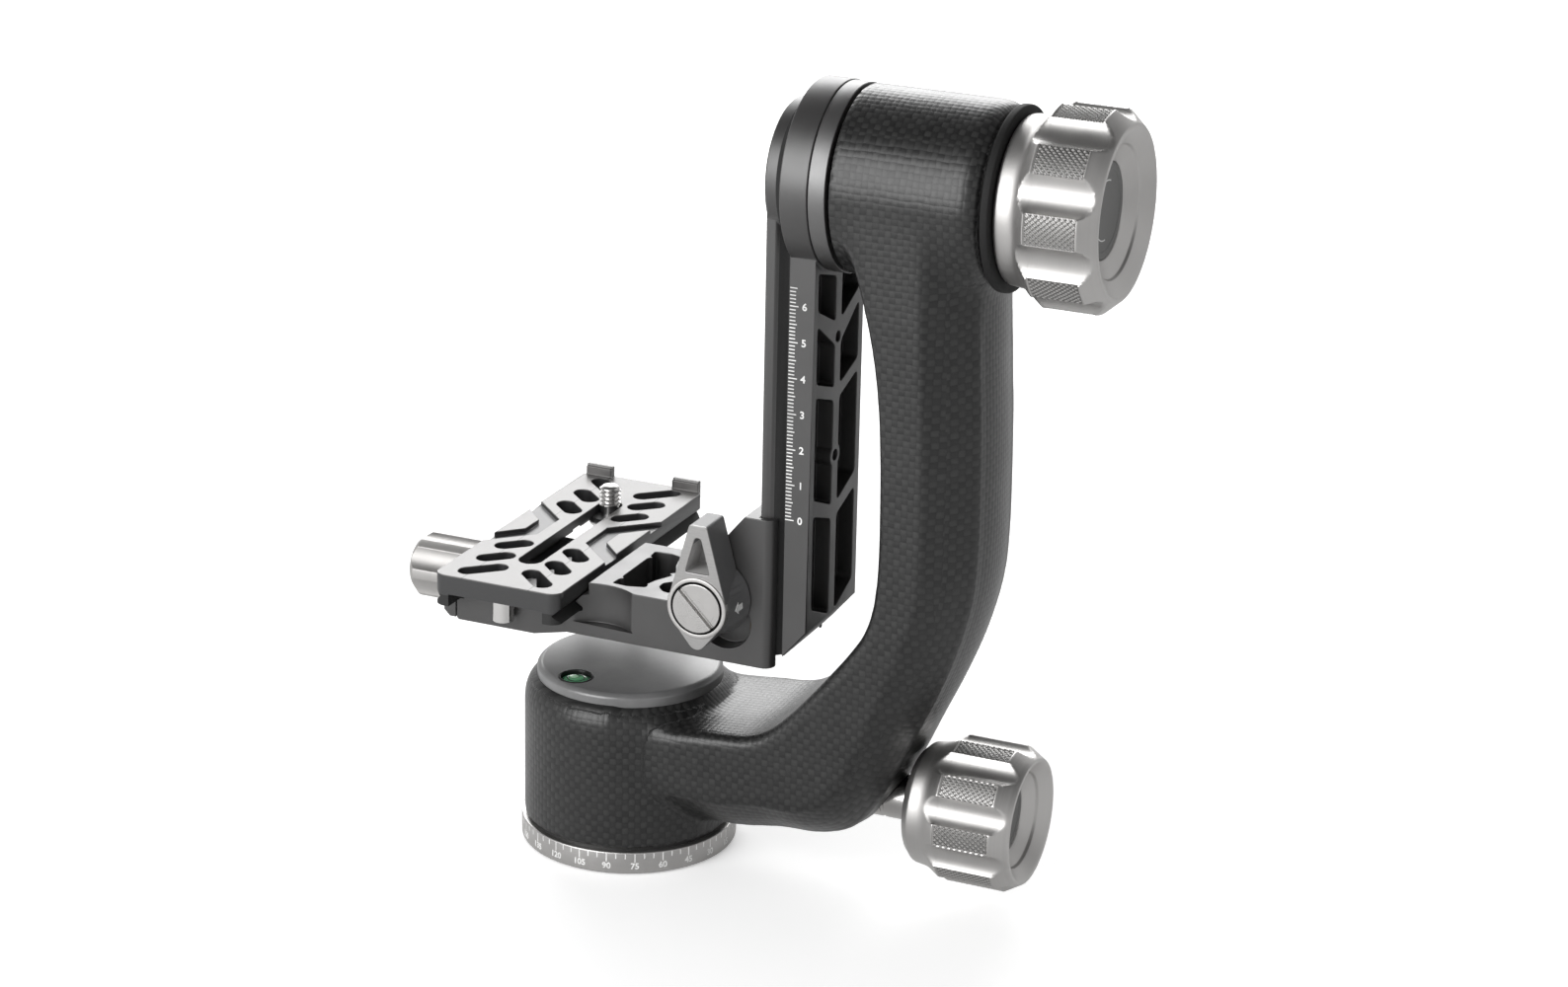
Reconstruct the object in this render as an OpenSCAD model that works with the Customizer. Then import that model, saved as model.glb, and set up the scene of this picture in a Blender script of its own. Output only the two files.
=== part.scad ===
// Gimbal tripod head: a panning base, a C-shaped carbon arm, a swinging rail
// and a cradle with a quick-release plate. Origin: mouth of the tripod thread.
// +Z up along the pan axis, +X from the pan axis towards the tilt knob.

/* [Tripod base] */
// Radius of the graduated base ring
ring_r = 30.7; // [28:0.1:36]
// Height of the graduated base ring
ring_h = 6.5; // [5:0.1:9]
// Wall radius of the tapped tripod hole, 3/8 inch coarse thread
thread_r = 3.97; // [3:0.01:5]
// Length of the tapped tripod hole
thread_l = 11; // [9:0.5:12]
// Gap between the base ring and the turning housing
pan_gap = 0.9; // [0.6:0.1:1.5]

/* [Pan housing] */
// Outer radius of the pan housing
housing_r = 29.8; // [28:0.1:34]
// Height of the housing shoulder above the ground face
housing_top_z = 50.4; // [46:0.1:56]
// Rounding of the housing's top rim
housing_round = 5.5; // [3:0.5:7]
// Width of the housing's rim round the black cap
cap_rim = 3.5; // [2.5:0.1:5]
// Height of the cap's top face above the ground face
cap_top_z = 52.4; // [51:0.1:58]
// Thickness of the cap
cap_t = 4.6; // [3.5:0.1:6]
// Radius of the round level's well
level_r = 5; // [3.5:0.1:6]
// Height of the pan lock's axis
pan_lock_z = 26.9; // [24:0.1:30]

/* [Bearings] */
// Bore radius of the four ball bearings
brg_bore_r = 10; // [9:0.5:11]
// Outer radius of the ball bearings
brg_od_r = 19; // [18:0.5:20]
// Width of the ball bearings
brg_w = 7; // [6:0.5:8]
// Radius of a bearing ball
ball_r = 2.4; // [2:0.1:2.6]
// Number of balls in a bearing
ball_count = 11; // [8:1:13]

/* [Arm] */
// Height of the tilt axis
tilt_z = 201.55; // [190:0.5:215]
// Distance from the pan axis to the arm's outer face
arm_reach = 109; // [106:0.5:113]
// Width of the arm
arm_w = 50; // [46:0.5:50.4]
// Radius of the arm's outer corners
arm_outer_round = 12; // [8:0.5:14]
// Radius of the arm's inner corners
arm_inner_round = 3; // [1.5:0.5:5]
// Crown of the arm's outer face
arm_crown = 1.8; // [0.5:0.1:3]
// Outer radius of the tilt tube
tube_r = 25.3; // [24:0.1:27]
// Rounding of the tilt tube's outer end
tube_round = 3.5; // [2:0.5:5]

/* [Knobs] */
// Outer radius of the tilt lock knob
tilt_knob_r = 27; // [25:0.5:29]
// Length of the tilt lock knob
tilt_knob_l = 28.7; // [26:0.5:32]
// Outer radius of the pan lock knob
pan_knob_r = 20.4; // [18:0.2:22]
// Length of the pan lock knob
pan_knob_l = 32.4; // [28:0.5:34]
// Scooped flutes round each lock knob
flute_count = 8; // [6:1:10]

/* [Rail] */
// Width of the swinging rail
rail_w = 34.4; // [32:0.2:36]
// Thickness of the rail's main plate
rail_t = 7; // [6:0.5:8]
// Height of the rail's lower end
rail_z0 = 68.5; // [66.5:0.5:72]
// Radius of the rail's round head
rail_head_r = 25.7; // [24:0.1:27]
// Thickness of the pivot disc between rail and arm
disc_t = 4.9; // [4:0.1:6]
// Depth of the rail's lightening pockets
rail_pocket_d = 4.6; // [3:0.2:5]

/* [Cradle] */
// Width of the cradle's neck and upright
neck_w = 38; // [36.5:0.5:42]
// Height of the cradle's underside
neck_z0 = 65.5; // [64:0.5:67]
// Height of the neck's top face
neck_z1 = 80.5; // [79.5:0.1:81.5]
// Height of the top of the upright
upright_z1 = 108.6; // [104:0.5:112]
// Length of the clamp block along the plate
clamp_w = 48; // [44:1:52]
// Travel of the moving jaw
jaw_travel = 4; // [2:0.5:5]
// Radius of the clamp knob
clamp_knob_r = 9.2; // [8:0.1:11]

/* [Quick release plate] */
// Width of the plate
plate_w = 39; // [37:0.5:41]
// Length of the plate
plate_l = 94.7; // [88:0.1:100]
// Height of the plate's top face
plate_z = 81.7; // [81:0.1:83]
// Distance of the plate's centre from the pan axis
plate_x = -26.05; // [-27:0.05:-25]
// Stud radius of the camera screw, 1/4 inch coarse thread
screw_r = 3.175; // [2.5:0.005:4]
// Height of the camera screw above the plate
screw_h = 6.3; // [4:0.1:8]

/* [Height lever] */
// Length of the lever from its pivot to its tip
lever_l = 23.6; // [20:0.1:28]
// Radius of the lever's eye
lever_eye_r = 8.7; // [8:0.1:10]
// Depth of the lever
lever_d = 11; // [8:0.5:13]

/* [Clearances] */
// Running clearance of shafts, studs and bearings
fit_gap = 0.05; // [0.03:0.01:0.08]
// Clearance between sliding and turning bodies
slide_gap = 0.3; // [0.25:0.05:0.4]

/* [Hidden] */
$fn = 64;
// Overrun of a cut past a face
over = 1;
// Small edge chamfer
edge = 0.6;
// Thin face-to-face gap inside one body
shim = 0.1;

housing_z0 = ring_h + pan_gap;
cap_r = housing_r - cap_rim;
level_rim = 1.5;
level_offset = cap_r - level_r - level_rim;
cap_z0 = cap_top_z - cap_t;
// Pan bearings: the lower one stands on the spindle's foot
foot_t = 4;
foot_gap = 1.8;
foot_r = brg_od_r - foot_gap;
// Gap between the races as a share of the ball's radius
race_gap_share = 1.08;
brg_race_t = (brg_od_r - brg_bore_r - race_gap_share * ball_r) / 2;
ball_circle_r = (brg_od_r + brg_bore_r) / 2;
pan_brg_low_z = ring_h + foot_t;
nut_t = 3.6;
nut_rim = 1;
nut_r = ball_circle_r - nut_rim;
cap_room = 1;
pan_brg_high_z = cap_z0 - nut_t - brg_w - cap_room;
// Steps of the drum and of the housing's land, as shares of a race
drum_share = 0.75;
land_share = 0.56;
drum_r = brg_bore_r + drum_share * brg_race_t;
land_r = brg_od_r - land_share * brg_race_t;
bush_wall = 3;
bush_flange_w = 2;
bush_body_r = thread_r + bush_wall;
bush_flange_r = bush_body_r + bush_flange_w;
bush_flange_t = 3;
friction_inset = 1;
friction_w = 4;
friction_r = housing_r - friction_inset;
base_screw_count = 3;
base_screw_r = 2;
base_screw_inset = 3.2;
base_screw_circle_r = foot_r - base_screw_inset;
base_screw_l = ring_h + foot_t - edge;

// Arm stations from the housing to the tilt tube. Each row holds the inner
// point and the outer point of a section, as shares of the reach and of the
// rise from the leg's middle height to the tilt axis.
leg_z = 31;
arm_rise = tilt_z - leg_z;
arm_station_shares = [
    [0.074, 0.077, 0.074, -0.106],
    [0.202, 0.079, 0.202, -0.106],
    [0.330, 0.084, 0.349, -0.106],
    [0.422, 0.090, 0.495, -0.092],
    [0.482, 0.107, 0.606, -0.087],
    [0.537, 0.139, 0.699, -0.061],
    [0.592, 0.179, 0.776, 0.008],
    [0.647, 0.222, 0.844, 0.100],
    [0.697, 0.264, 0.905, 0.185],
    [0.736, 0.305, 0.954, 0.267],
    [0.758, 0.355, 0.989, 0.355],
    [0.767, 0.428, 1.000, 0.434],
    [0.766, 0.534, 1.000, 0.534],
    [0.760, 0.639, 0.996, 0.639],
    [0.746, 0.727, 0.989, 0.727],
    [0.721, 0.809, 0.983, 0.809],
    [0.684, 0.885, 0.983, 0.885],
    [0.638, 0.956, 0.983, 0.956],
    [0.622, 1.000, 0.983, 1.000]];
arm_steps = 2;
ease_steps = 3;

// Tilt axis stack along X
tilt_room_share = 0.44037;
tilt_room = tilt_room_share * arm_reach;
rail_x1 = arm_reach - tilt_room;
rail_x0 = rail_x1 - rail_t;
head_step = 0.8;
head_x1 = rail_x1 + head_step;
disc_x1 = head_x1 + disc_t;
tilt_gap = 0.7;
tube_x0 = disc_x1 + tilt_gap;
tube_x1 = arm_reach;
spindle_flange_t = 3.8;
spindle_flange_w = 2.2;
spindle_flange_r = drum_r + spindle_flange_w;
tilt_brg_x0 = disc_x1 + spindle_flange_t;
lock_bush_t = 4;
lock_bush_x0 = tube_x1 - lock_bush_t;
brake_pad_t = 3.4;
brake_pad_x0 = lock_bush_x0 - brake_pad_t - shim;
tilt_spindle_x1 = brake_pad_x0 - slide_gap;
tilt_nut_x0 = tilt_spindle_x1 - nut_t - shim;
tilt_brg_x1 = tilt_nut_x0 - brg_w;
stud_r = 5;
seal_t = 2.4;
seal_r = tube_r - edge;
seal_w = 4;
seal_bore_r = seal_r - seal_w;
tilt_knob_x0 = tube_x1 + seal_t + slide_gap;

// Lock knob shape as shares of its radius and of its length
neck_share = 0.83;
flute_depth_share = 0.107;
flute_cut_share = 0.26;
rim_share = 0.86;
rim_bore_share = 0.82;
knob_disc_share = 0.475;
neck_l_share = 0.2;
shoulder_l_share = 0.34;
front_l_share = 0.85;
dish_l_share = 0.2;
knob_disc_t = 1.2;
pan_knob_chamfer = 2.2;

// Pan lock along X
lock_bush_r = 7.5;
pan_bush_l = 16;
pan_shoulder_r = 6.3;
// Places of bush and knob on the pan lock's axis as shares of the reach
pan_bush_share = 0.459;
pan_knob_share = 0.821;
pan_bush_x0 = pan_bush_share * arm_reach;
pan_knob_x0 = pan_knob_share * arm_reach;
shoe_r = 6;
shoe_x0 = drum_r + slide_gap;
shoe_l = 9;
shoe_x1 = shoe_x0 + shoe_l;
oring_r = 1;

// Rail and its dovetail on the cradle side
waist_inset = 3;
waist_half = rail_w / 2 - waist_inset;
waist_l = 1.6;
dovetail_t = 7;
dovetail_x0 = rail_x0 - dovetail_t;
dovetail_inset = 0.2;
flare = waist_inset - dovetail_inset;
back_head_r = 19.5;
strip_t = 1.5;
strip_half = 9.5;
strip_z0 = 115;
strip_z1 = 169.6;
strip_screw_z = [123.4, 157];
strip_screw_r = 1.5;
strip_boss_r = 3.3;
head_screw_circle_r = 11.6;
head_screw_r = 2.5;
head_screw_head_r = 4.2;
head_screw_head_t = 5;
rail_chamfer_x = 7.6;
rail_chamfer_z = 9;
spine_half = 2.1;
pocket_rim = 3.2;
pocket_half = rail_w / 2 - pocket_rim;
// Rows of rail pockets: spine foot, edge foot, spine top and edge top, as
// shares of the rail's length from its lower end to the tilt axis
rail_pocket_shares = [
    [0.071, 0.109, 0.280, 0.311],
    [0.310, 0.346, 0.534, 0.564],
    [0.562, 0.592, 0.652, 0.713],
    [0.702, 0.744, 0.797, 0.823]];

// Quick-release plate section
slab_t = 4.4;
groove_d = 2.2;
foot_flare = 2;
foot_lip = 0.6;
plate_h = slab_t + groove_d + foot_flare + foot_lip;
plate_web_t = 5.6;
foot_w = 4.9;
foot_inner_half = plate_w / 2 - foot_w;
foot_half = plate_w / 2 - groove_d + foot_flare;
plate_corner_r = 3.5;
stop_gap = 0.2;
stop_pin_r = 3;
stop_pin_inset = 5;
plate_y0 = -clamp_w / 2 - stop_gap - stop_pin_r - stop_pin_inset;
plate_y = plate_y0 + plate_l / 2;
slot_front = 18.2;
slot_back = 19.5;
plate_slot_y0 = plate_y0 + slot_front;
plate_slot_y1 = plate_y0 + plate_l - slot_back;
screw_play = 0.25;
plate_slot_w = 2 * (screw_r + screw_play);
head_slot_w = 12.6;
head_slot_d = 3;
zig_d = 1.3;
lug_w = 8.5;
lug_t = 2;
lug_h = 3.2;
lug_inset = 1.2;
// Half width of a side slot as a share of the plate's width
side_slot_share = 0.069;
side_slot_r = side_slot_share * plate_w;
stop_pin_l = 6.6;
stop_pin_y = plate_y0 + stop_pin_inset;
// Side slots of one quarter of the plate: distance from the plate's centre
// across and along, and half the distance between the slot's end centres,
// as shares of the plate's width and length
side_slot_shares = [[0.25, 0.182, 0.075], [0.25, 0.298, 0.075], [0.215, 0.405, 0.115]];
// Channel round the raised island at both edges: X as shares of the width,
// Y of the length, for the channel's outline and for the island's
channel_shares = [[0.2, 0.073], [0.53, 0.205]];
island_shares = [[0.33, 0.043], [0.53, 0.13]];

// Cradle
upright_gap = 2.5;
upright_x1 = rail_x0 - upright_gap;
upright_top_t = 8.5;
block_inset = 3.05;
clamp_x0 = plate_x - plate_w / 2 + block_inset;
block_corner_inset = 11.65;
clamp_x1 = plate_x + plate_w / 2 - block_corner_inset;
block_corner = 7.7;
scoop_r = 16.2;
scoop_in = 3;
scoop_x = 0.5;
upright_round = 3;
neck_x0 = clamp_x1 + block_corner;
jaw_seat_x = plate_x + plate_w / 2 - groove_d + foot_flare + slide_gap;
seat_wall = 1.6;
jaw_x1 = jaw_seat_x + seat_wall;
block_y = clamp_w / 2;
jaw_t = 4;
jaw_out_x = clamp_x0 - jaw_t;
bed_z = plate_z - plate_web_t - slide_gap;
floor_z = plate_z - plate_h - slide_gap;
jaw_top_z = plate_z - slab_t - slide_gap;
clamp_axis_z = 70.2;
clamp_screw_r = 1.6;
clamp_screw_hold = 20;
clamp_screw_l = clamp_screw_hold + jaw_travel;
guide_r = 1.4;
guide_y = 15;
guide_hold = 8;
guide_l = guide_hold + jaw_travel;
clamp_knob_l = 20;
clamp_knob_edge = 1;
lever_set = 12.6;
lever_x = dovetail_x0 - lever_set;
lever_z = 84.7;
cam_r = stud_r;
cam_y1 = 11;
cam_throw = 0.5;
cam_shoulder = 1;
gib_t = 3.2;
gib_overhang = 0.8;
gib_half = waist_half + gib_overhang;
gib_h = 30;
gib_z0 = lever_z - gib_h / 2;
gib_x1 = dovetail_x0 - slide_gap;
gib_x0 = gib_x1 - gib_t;
push_r = 4;
neck_pocket_d = 9;
neck_pocket_round = 0.7;
relief_r = 7.8;
relief_d = 5;
lever_y1 = -neck_w / 2 - slide_gap;
lever_y0 = lever_y1 - lever_d;
lever_tip_r = 1;
lever_tip_half = 1.8;
lever_hub_r = 11;
lever_boss_r = lever_eye_r + edge;
pocket_round = 1.5;
lever_tail_r = 2.6;
lever_tail_l = 9.6;
lever_cap_r = 7;
screw_head_t = 2;
screw_neck = 0.35;
scoop_d = 3.2;
camera_screw_y = plate_slot_y1 - plate_slot_w / 2 - shim;
// Pockets of the neck: X as shares of the run to the lever, Y of its half width
neck_run = lever_x - lever_boss_r;
neck_pocket_shares = [
    [[0.05, -0.42], [0.05, 0.14], [0.11, 0.21], [0.30, 0.19], [0.53, -0.06], [0.43, -0.34],
        [0.37, -0.63], [0.21, -0.64]],
    [[0.05, 0.52], [0.04, 0.72], [0.23, 0.74], [0.42, 0.66], [0.41, 0.55], [0.30, 0.45], [0.15, 0.43]],
    [[0.55, -0.56], [0.54, -0.41], [0.62, -0.28], [0.73, -0.72], [0.64, -0.69]]];

// Extrudes a side outline, drawn as X and Z, between two places along Y
module along_y(y0, y1) {
    translate([0, y1, 0]) rotate([90, 0, 0]) linear_extrude(y1 - y0) children();
}

// Extrudes a front outline, drawn as Y and Z, between two places along X
module along_x(x0, x1) {
    translate([x0, 0, 0]) rotate([90, 0, 90]) linear_extrude(x1 - x0) children();
}

// Round bar along X
module rod_x(x0, x1, r) {
    translate([x0, 0, 0]) rotate([0, 90, 0]) cylinder(r = r, h = x1 - x0);
}

// Round bar along Y
module rod_y(y0, y1, r) {
    translate([0, y1, 0]) rotate([90, 0, 0]) cylinder(r = r, h = y1 - y0);
}

// Turned piece on the X axis: the outline is drawn as radius and X
module turn_x() {
    rotate([0, 90, 0]) rotate_extrude() children();
}

// Washer or sleeve standing on its lower face
module sleeve(r_out, r_in, h) {
    rotate_extrude() translate([r_in, 0]) square([r_out - r_in, h]);
}

// Turned disc with a small chamfer on both rims
module rim_disc(r, h, c) {
    rotate_extrude()
        polygon([[0, 0], [r - c, 0], [r, c], [r, h - c], [r - c, h], [0, h]]);
}

module inner_ring() {
    rotate_extrude() difference() {
        translate([brg_bore_r + fit_gap, 0]) square([brg_race_t - fit_gap, brg_w]);
        translate([ball_circle_r, brg_w / 2]) circle(r = ball_r + fit_gap);
    }
}

module outer_ring() {
    rotate_extrude() difference() {
        translate([brg_od_r - brg_race_t, 0]) square([brg_race_t, brg_w]);
        translate([ball_circle_r, brg_w / 2]) circle(r = ball_r + fit_gap);
    }
}

module ball_set() {
    for (i = [0 : ball_count - 1])
        rotate([0, 0, i * 360 / ball_count])
            translate([ball_circle_r, 0, brg_w / 2])
                sphere(r = ball_r, $fn = 24);
}

// Places a copy in each of the two pan bearings
module at_pan_bearings() {
    translate([0, 0, pan_brg_low_z]) children();
    translate([0, 0, pan_brg_high_z]) children();
}

// Places a copy in each of the two tilt bearings
module at_tilt_bearings() {
    translate([tilt_brg_x0, 0, tilt_z]) rotate([0, 90, 0]) children();
    translate([tilt_brg_x1, 0, tilt_z]) rotate([0, 90, 0]) children();
}

module at_base_screws() {
    for (i = [0 : base_screw_count - 1])
        rotate([0, 0, 30 + i * 360 / base_screw_count])
            translate([base_screw_circle_r, 0, 0]) children();
}

module countersunk(r, l, gap) {
    rotate_extrude()
        polygon([[0, 0], [2 * r + gap, 0], [r + gap, r], [r + gap, l], [0, l]]);
}

module pan_base_ring() {
    color("silver") difference() {
        rim_disc(ring_r, ring_h, edge);
        translate([0, 0, -over]) cylinder(r = bush_body_r + fit_gap, h = ring_h + 2 * over);
        translate([0, 0, ring_h - bush_flange_t])
            cylinder(r = bush_flange_r + fit_gap, h = bush_flange_t + over);
        at_base_screws() countersunk(base_screw_r, ring_h + over, shim);
    }
}

module tripod_thread_bush() {
    color("gainsboro") difference() {
        union() {
            cylinder(r = bush_body_r, h = thread_l);
            translate([0, 0, ring_h - bush_flange_t]) cylinder(r = bush_flange_r, h = bush_flange_t);
        }
        translate([0, 0, -over]) cylinder(r = thread_r, h = thread_l + 2 * over);
    }
}

module base_screws() {
    color("dimgray") at_base_screws() countersunk(base_screw_r, base_screw_l, 0);
}

module pan_spindle() {
    color("darkgray") difference() {
        union() {
            translate([0, 0, ring_h]) cylinder(r = foot_r, h = foot_t);
            translate([0, 0, ring_h]) cylinder(r = brg_bore_r, h = pan_brg_high_z + brg_w + nut_t - ring_h);
            translate([0, 0, pan_brg_low_z + brg_w])
                cylinder(r = drum_r, h = pan_brg_high_z - pan_brg_low_z - brg_w);
        }
        cylinder(r = bush_body_r + fit_gap, h = thread_l + shim);
        cylinder(r = thread_r + over, h = thread_l + 4 * over);
        at_base_screws() cylinder(r = base_screw_r + shim, h = base_screw_l + shim);
    }
}

module pan_friction_washer() {
    color("black") translate([0, 0, ring_h])
        sleeve(friction_r, friction_r - friction_w, pan_gap - shim);
}

module pan_bearing_inner_rings() {
    color("lightsteelblue") at_pan_bearings() inner_ring();
}

module pan_bearing_outer_rings() {
    color("lightsteelblue") at_pan_bearings() outer_ring();
}

module pan_bearing_balls() {
    color("white") at_pan_bearings() ball_set();
}

module pan_retaining_nut() {
    color("dimgray") translate([0, 0, pan_brg_high_z + brg_w]) lock_nut();
}

// Ring nut with four spanner notches
module lock_nut() {
    difference() {
        sleeve(nut_r, brg_bore_r + fit_gap, nut_t);
        for (a = [0, 90, 180, 270])
            rotate([0, 0, a]) translate([drum_r, -nut_t / 2, nut_t / 2])
                cube([nut_t, nut_t, nut_t]);
    }
}

// Smooth curve through four neighbouring values, at t from 0 to 1 between
// the middle two
function curve(a, b, c, d, t) =
    b + t * (c - a) / 2 + t * t * (a - 2.5 * b + 2 * c - d / 2)
    + t * t * t * (1.5 * b - 1.5 * c + (d - a) / 2);

function clamped(i, n) = i < 0 ? 0 : i > n ? n : i;

// Station at a running index, between the rows of the table
function station(i, t) =
    let (n = len(arm_station_shares) - 1)
    [for (k = [0 : 3]) curve(arm_station_shares[clamped(i - 1, n)][k], arm_station_shares[i][k],
        arm_station_shares[clamped(i + 1, n)][k], arm_station_shares[clamped(i + 2, n)][k], t)];

// Points of an arc in the plane of a section
function arc(cx, cy, r, a0, a1, n) =
    [for (i = [0 : n]) let (a = a0 + (a1 - a0) * i / n) [cx + r * cos(a), cy + r * sin(a)]];

// Outline with each corner eased by a parabola that starts d before the corner
function eased(pts, d) =
    [for (i = [0 : len(pts) - 1])
        let (n = len(pts), p = pts[i], a = pts[(i + n - 1) % n] - p, b = pts[(i + 1) % n] - p,
            u = d * a / norm(a), v = d * b / norm(b))
        for (k = [0 : ease_steps]) let (t = k / ease_steps)
            p + (1 - t) * (1 - t) * u + t * t * v];

// Section of the arm across its thickness t: flat inside, crowned outside
function arm_section(t) =
    let (w = arm_w / 2, ri = arm_inner_round, ro = arm_outer_round, uo = t - arm_crown - ro, yo = w - ro)
    concat(
        arc(ri, ri - w, ri, 180, 270, 2),
        arc(uo, -yo, ro, 270, 360, 5),
        [for (f = [-0.6, -0.2, 0.2, 0.6]) [t - arm_crown * f * f, f * yo]],
        arc(uo, yo, ro, 0, 90, 5),
        arc(ri, w - ri, ri, 90, 180, 2));

// A section's points set between its inner and outer point
function placed(s) =
    let (xi = s[0] * arm_reach, zi = leg_z + s[1] * arm_rise,
        xo = s[2] * arm_reach, zo = leg_z + s[3] * arm_rise,
        t = norm([xo - xi, zo - zi]), ux = (xo - xi) / t, uz = (zo - zi) / t)
    [for (p = arm_section(t)) [xi + ux * p[0], p[1], zi + uz * p[0]]];

// Loft of the arm's strap through all its sections
module arm_strap() {
    last = len(arm_station_shares) - 1;
    rings = concat([for (i = [0 : last - 1], j = [0 : arm_steps - 1]) placed(station(i, j / arm_steps))],
        [placed(arm_station_shares[last])]);
    n = len(rings[0]);
    m = len(rings);
    polyhedron(
        points = [for (r = rings) for (p = r) p],
        faces = concat(
            [for (i = [0 : m - 2], j = [0 : n - 1]) let (k = (j + 1) % n)
                [i * n + j, (i + 1) * n + j, i * n + k]],
            [for (i = [0 : m - 2], j = [0 : n - 1]) let (k = (j + 1) % n)
                [i * n + k, (i + 1) * n + j, (i + 1) * n + k]],
            [[for (j = [0 : n - 1]) j]],
            [[for (j = [n - 1 : -1 : 0]) (m - 1) * n + j]]));
}

// Round housing with a rounded top rim
module pan_housing() {
    rotate_extrude() {
        translate([0, housing_z0]) square([housing_r, housing_top_z - housing_round - housing_z0]);
        translate([0, housing_z0]) square([housing_r - housing_round, housing_top_z - housing_z0]);
        translate([housing_r - housing_round, housing_top_z - housing_round]) circle(r = housing_round);
    }
}

// Tube round the tilt axis with a rounded outer end
module tilt_tube() {
    translate([0, 0, tilt_z]) turn_x() {
        translate([0, tube_x0]) square([tube_r, tube_x1 - tube_round - tube_x0]);
        translate([0, tube_x0]) square([tube_r - tube_round, tube_x1 - tube_x0]);
        translate([tube_r - tube_round, tube_x1 - tube_round]) circle(r = tube_round);
    }
}

module arm_bores() {
    // Pan bearings, brake drum and cap
    translate([0, 0, housing_z0 - over])
        cylinder(r = brg_od_r + fit_gap, h = pan_brg_low_z + brg_w - housing_z0 + over);
    translate([0, 0, housing_z0]) cylinder(r = land_r, h = cap_z0 - housing_z0);
    translate([0, 0, pan_brg_high_z]) cylinder(r = brg_od_r + fit_gap, h = cap_z0 - pan_brg_high_z + over);
    translate([0, 0, cap_z0]) cylinder(r = cap_r + shim, h = cap_t + over);
    // Pan lock
    translate([0, 0, pan_lock_z]) {
        rod_x(land_r - over, pan_bush_x0 + over, shoe_r + shim);
        rod_x(pan_bush_x0, pan_bush_x0 + pan_bush_l, lock_bush_r + fit_gap);
        rod_x(pan_bush_x0 + pan_bush_l - over, arm_reach, pan_shoulder_r + slide_gap);
    }
    // Tilt bearings and lock
    translate([0, 0, tilt_z]) {
        rod_x(tube_x0 - 4 * over, tilt_brg_x0 + brg_w, brg_od_r + fit_gap);
        rod_x(tube_x0, tube_x1, land_r);
        rod_x(tilt_brg_x1, tube_x1 + over, brg_od_r + fit_gap);
    }
}

module arm_shell() {
    color("#2b2b2d") difference() {
        union() {
            arm_strap();
            pan_housing();
            tilt_tube();
        }
        arm_bores();
    }
}

module at_level() {
    rotate([0, 0, 246]) translate([level_offset, 0, 0]) children();
}

module pan_cap() {
    color("#202022") difference() {
        translate([0, 0, cap_z0])
            rotate_extrude() polygon([[0, 0], [cap_r, 0], [cap_r, cap_t - 2 * edge],
                [cap_r - 1.5 * edge, cap_t], [0, cap_t]]);
        at_level() translate([0, 0, cap_z0 + edge]) cylinder(r = level_r + fit_gap, h = cap_t);
    }
}

module level_well() {
    color("black") at_level() translate([0, 0, cap_z0 + edge]) difference() {
        cylinder(r = level_r, h = cap_t - edge);
        translate([0, 0, edge]) cylinder(r = level_r - edge, h = cap_t);
    }
}

module level_vial() {
    color("green") at_level() translate([0, 0, cap_z0 + 2 * edge])
        cylinder(r = level_r - edge - shim, h = cap_t - 4 * edge);
}

module pan_brake_shoe() {
    color("peru") difference() {
        translate([0, 0, pan_lock_z]) rod_x(drum_r - over, shoe_x1, shoe_r);
        cylinder(r = shoe_x0, h = 2 * pan_lock_z);
    }
}

module pan_lock_bush() {
    color("goldenrod") translate([0, 0, pan_lock_z]) difference() {
        rod_x(pan_bush_x0, pan_bush_x0 + pan_bush_l, lock_bush_r);
        rod_x(pan_bush_x0 - over, pan_bush_x0 + pan_bush_l + over, stud_r + fit_gap);
    }
}

module pan_lock_shaft() {
    color("gainsboro") translate([0, 0, pan_lock_z]) {
        rod_x(shoe_x1 + slide_gap, pan_knob_x0 + pan_knob_l / 3, stud_r);
        rod_x(pan_bush_x0 + pan_bush_l + slide_gap, pan_knob_x0, pan_shoulder_r);
    }
}

module pan_lock_oring() {
    color("black") translate([pan_knob_x0 - oring_r - shim, 0, pan_lock_z]) rotate([0, 90, 0])
        rotate_extrude() translate([pan_shoulder_r + oring_r + fit_gap, 0]) circle(r = oring_r);
}

// Fluted lock knob with a dished front and a back chamfer c, standing on its
// back face along X
module lock_knob(r, l, c) {
    difference() {
        turn_x() polygon([[0, 0], [neck_share * r - c, 0], [neck_share * r, c],
            [neck_share * r + edge, neck_l_share * l], [r, shoulder_l_share * l],
            [r, front_l_share * l], [rim_share * r, l], [rim_bore_share * r, l],
            [knob_disc_share * r, (1 - dish_l_share) * l],
            [knob_disc_share * r, (1 - dish_l_share) * l - knob_disc_t],
            [0, (1 - dish_l_share) * l - knob_disc_t]]);
        for (i = [0 : flute_count - 1])
            rotate([(i + 0.5) * 360 / flute_count, 0, 0])
                translate([0, 0, (1 - flute_depth_share + flute_cut_share) * r])
                    rod_x(-over, l + over, flute_cut_share * r);
        rod_x(-over, l / 3 + shim, stud_r + fit_gap);
    }
}

module knob_disc(r, l) {
    translate([(1 - dish_l_share) * l - knob_disc_t, 0, 0])
        rod_x(0, knob_disc_t, knob_disc_share * r - fit_gap);
}

module pan_knob() {
    color("silver") translate([pan_knob_x0, 0, pan_lock_z])
        lock_knob(pan_knob_r, pan_knob_l, pan_knob_chamfer);
}

module pan_knob_disc() {
    color("gray") translate([pan_knob_x0, 0, pan_lock_z]) knob_disc(pan_knob_r, pan_knob_l);
}

module tilt_bearing_outer_rings() {
    color("lightsteelblue") at_tilt_bearings() outer_ring();
}

module tilt_bearing_balls() {
    color("white") at_tilt_bearings() ball_set();
}

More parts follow.
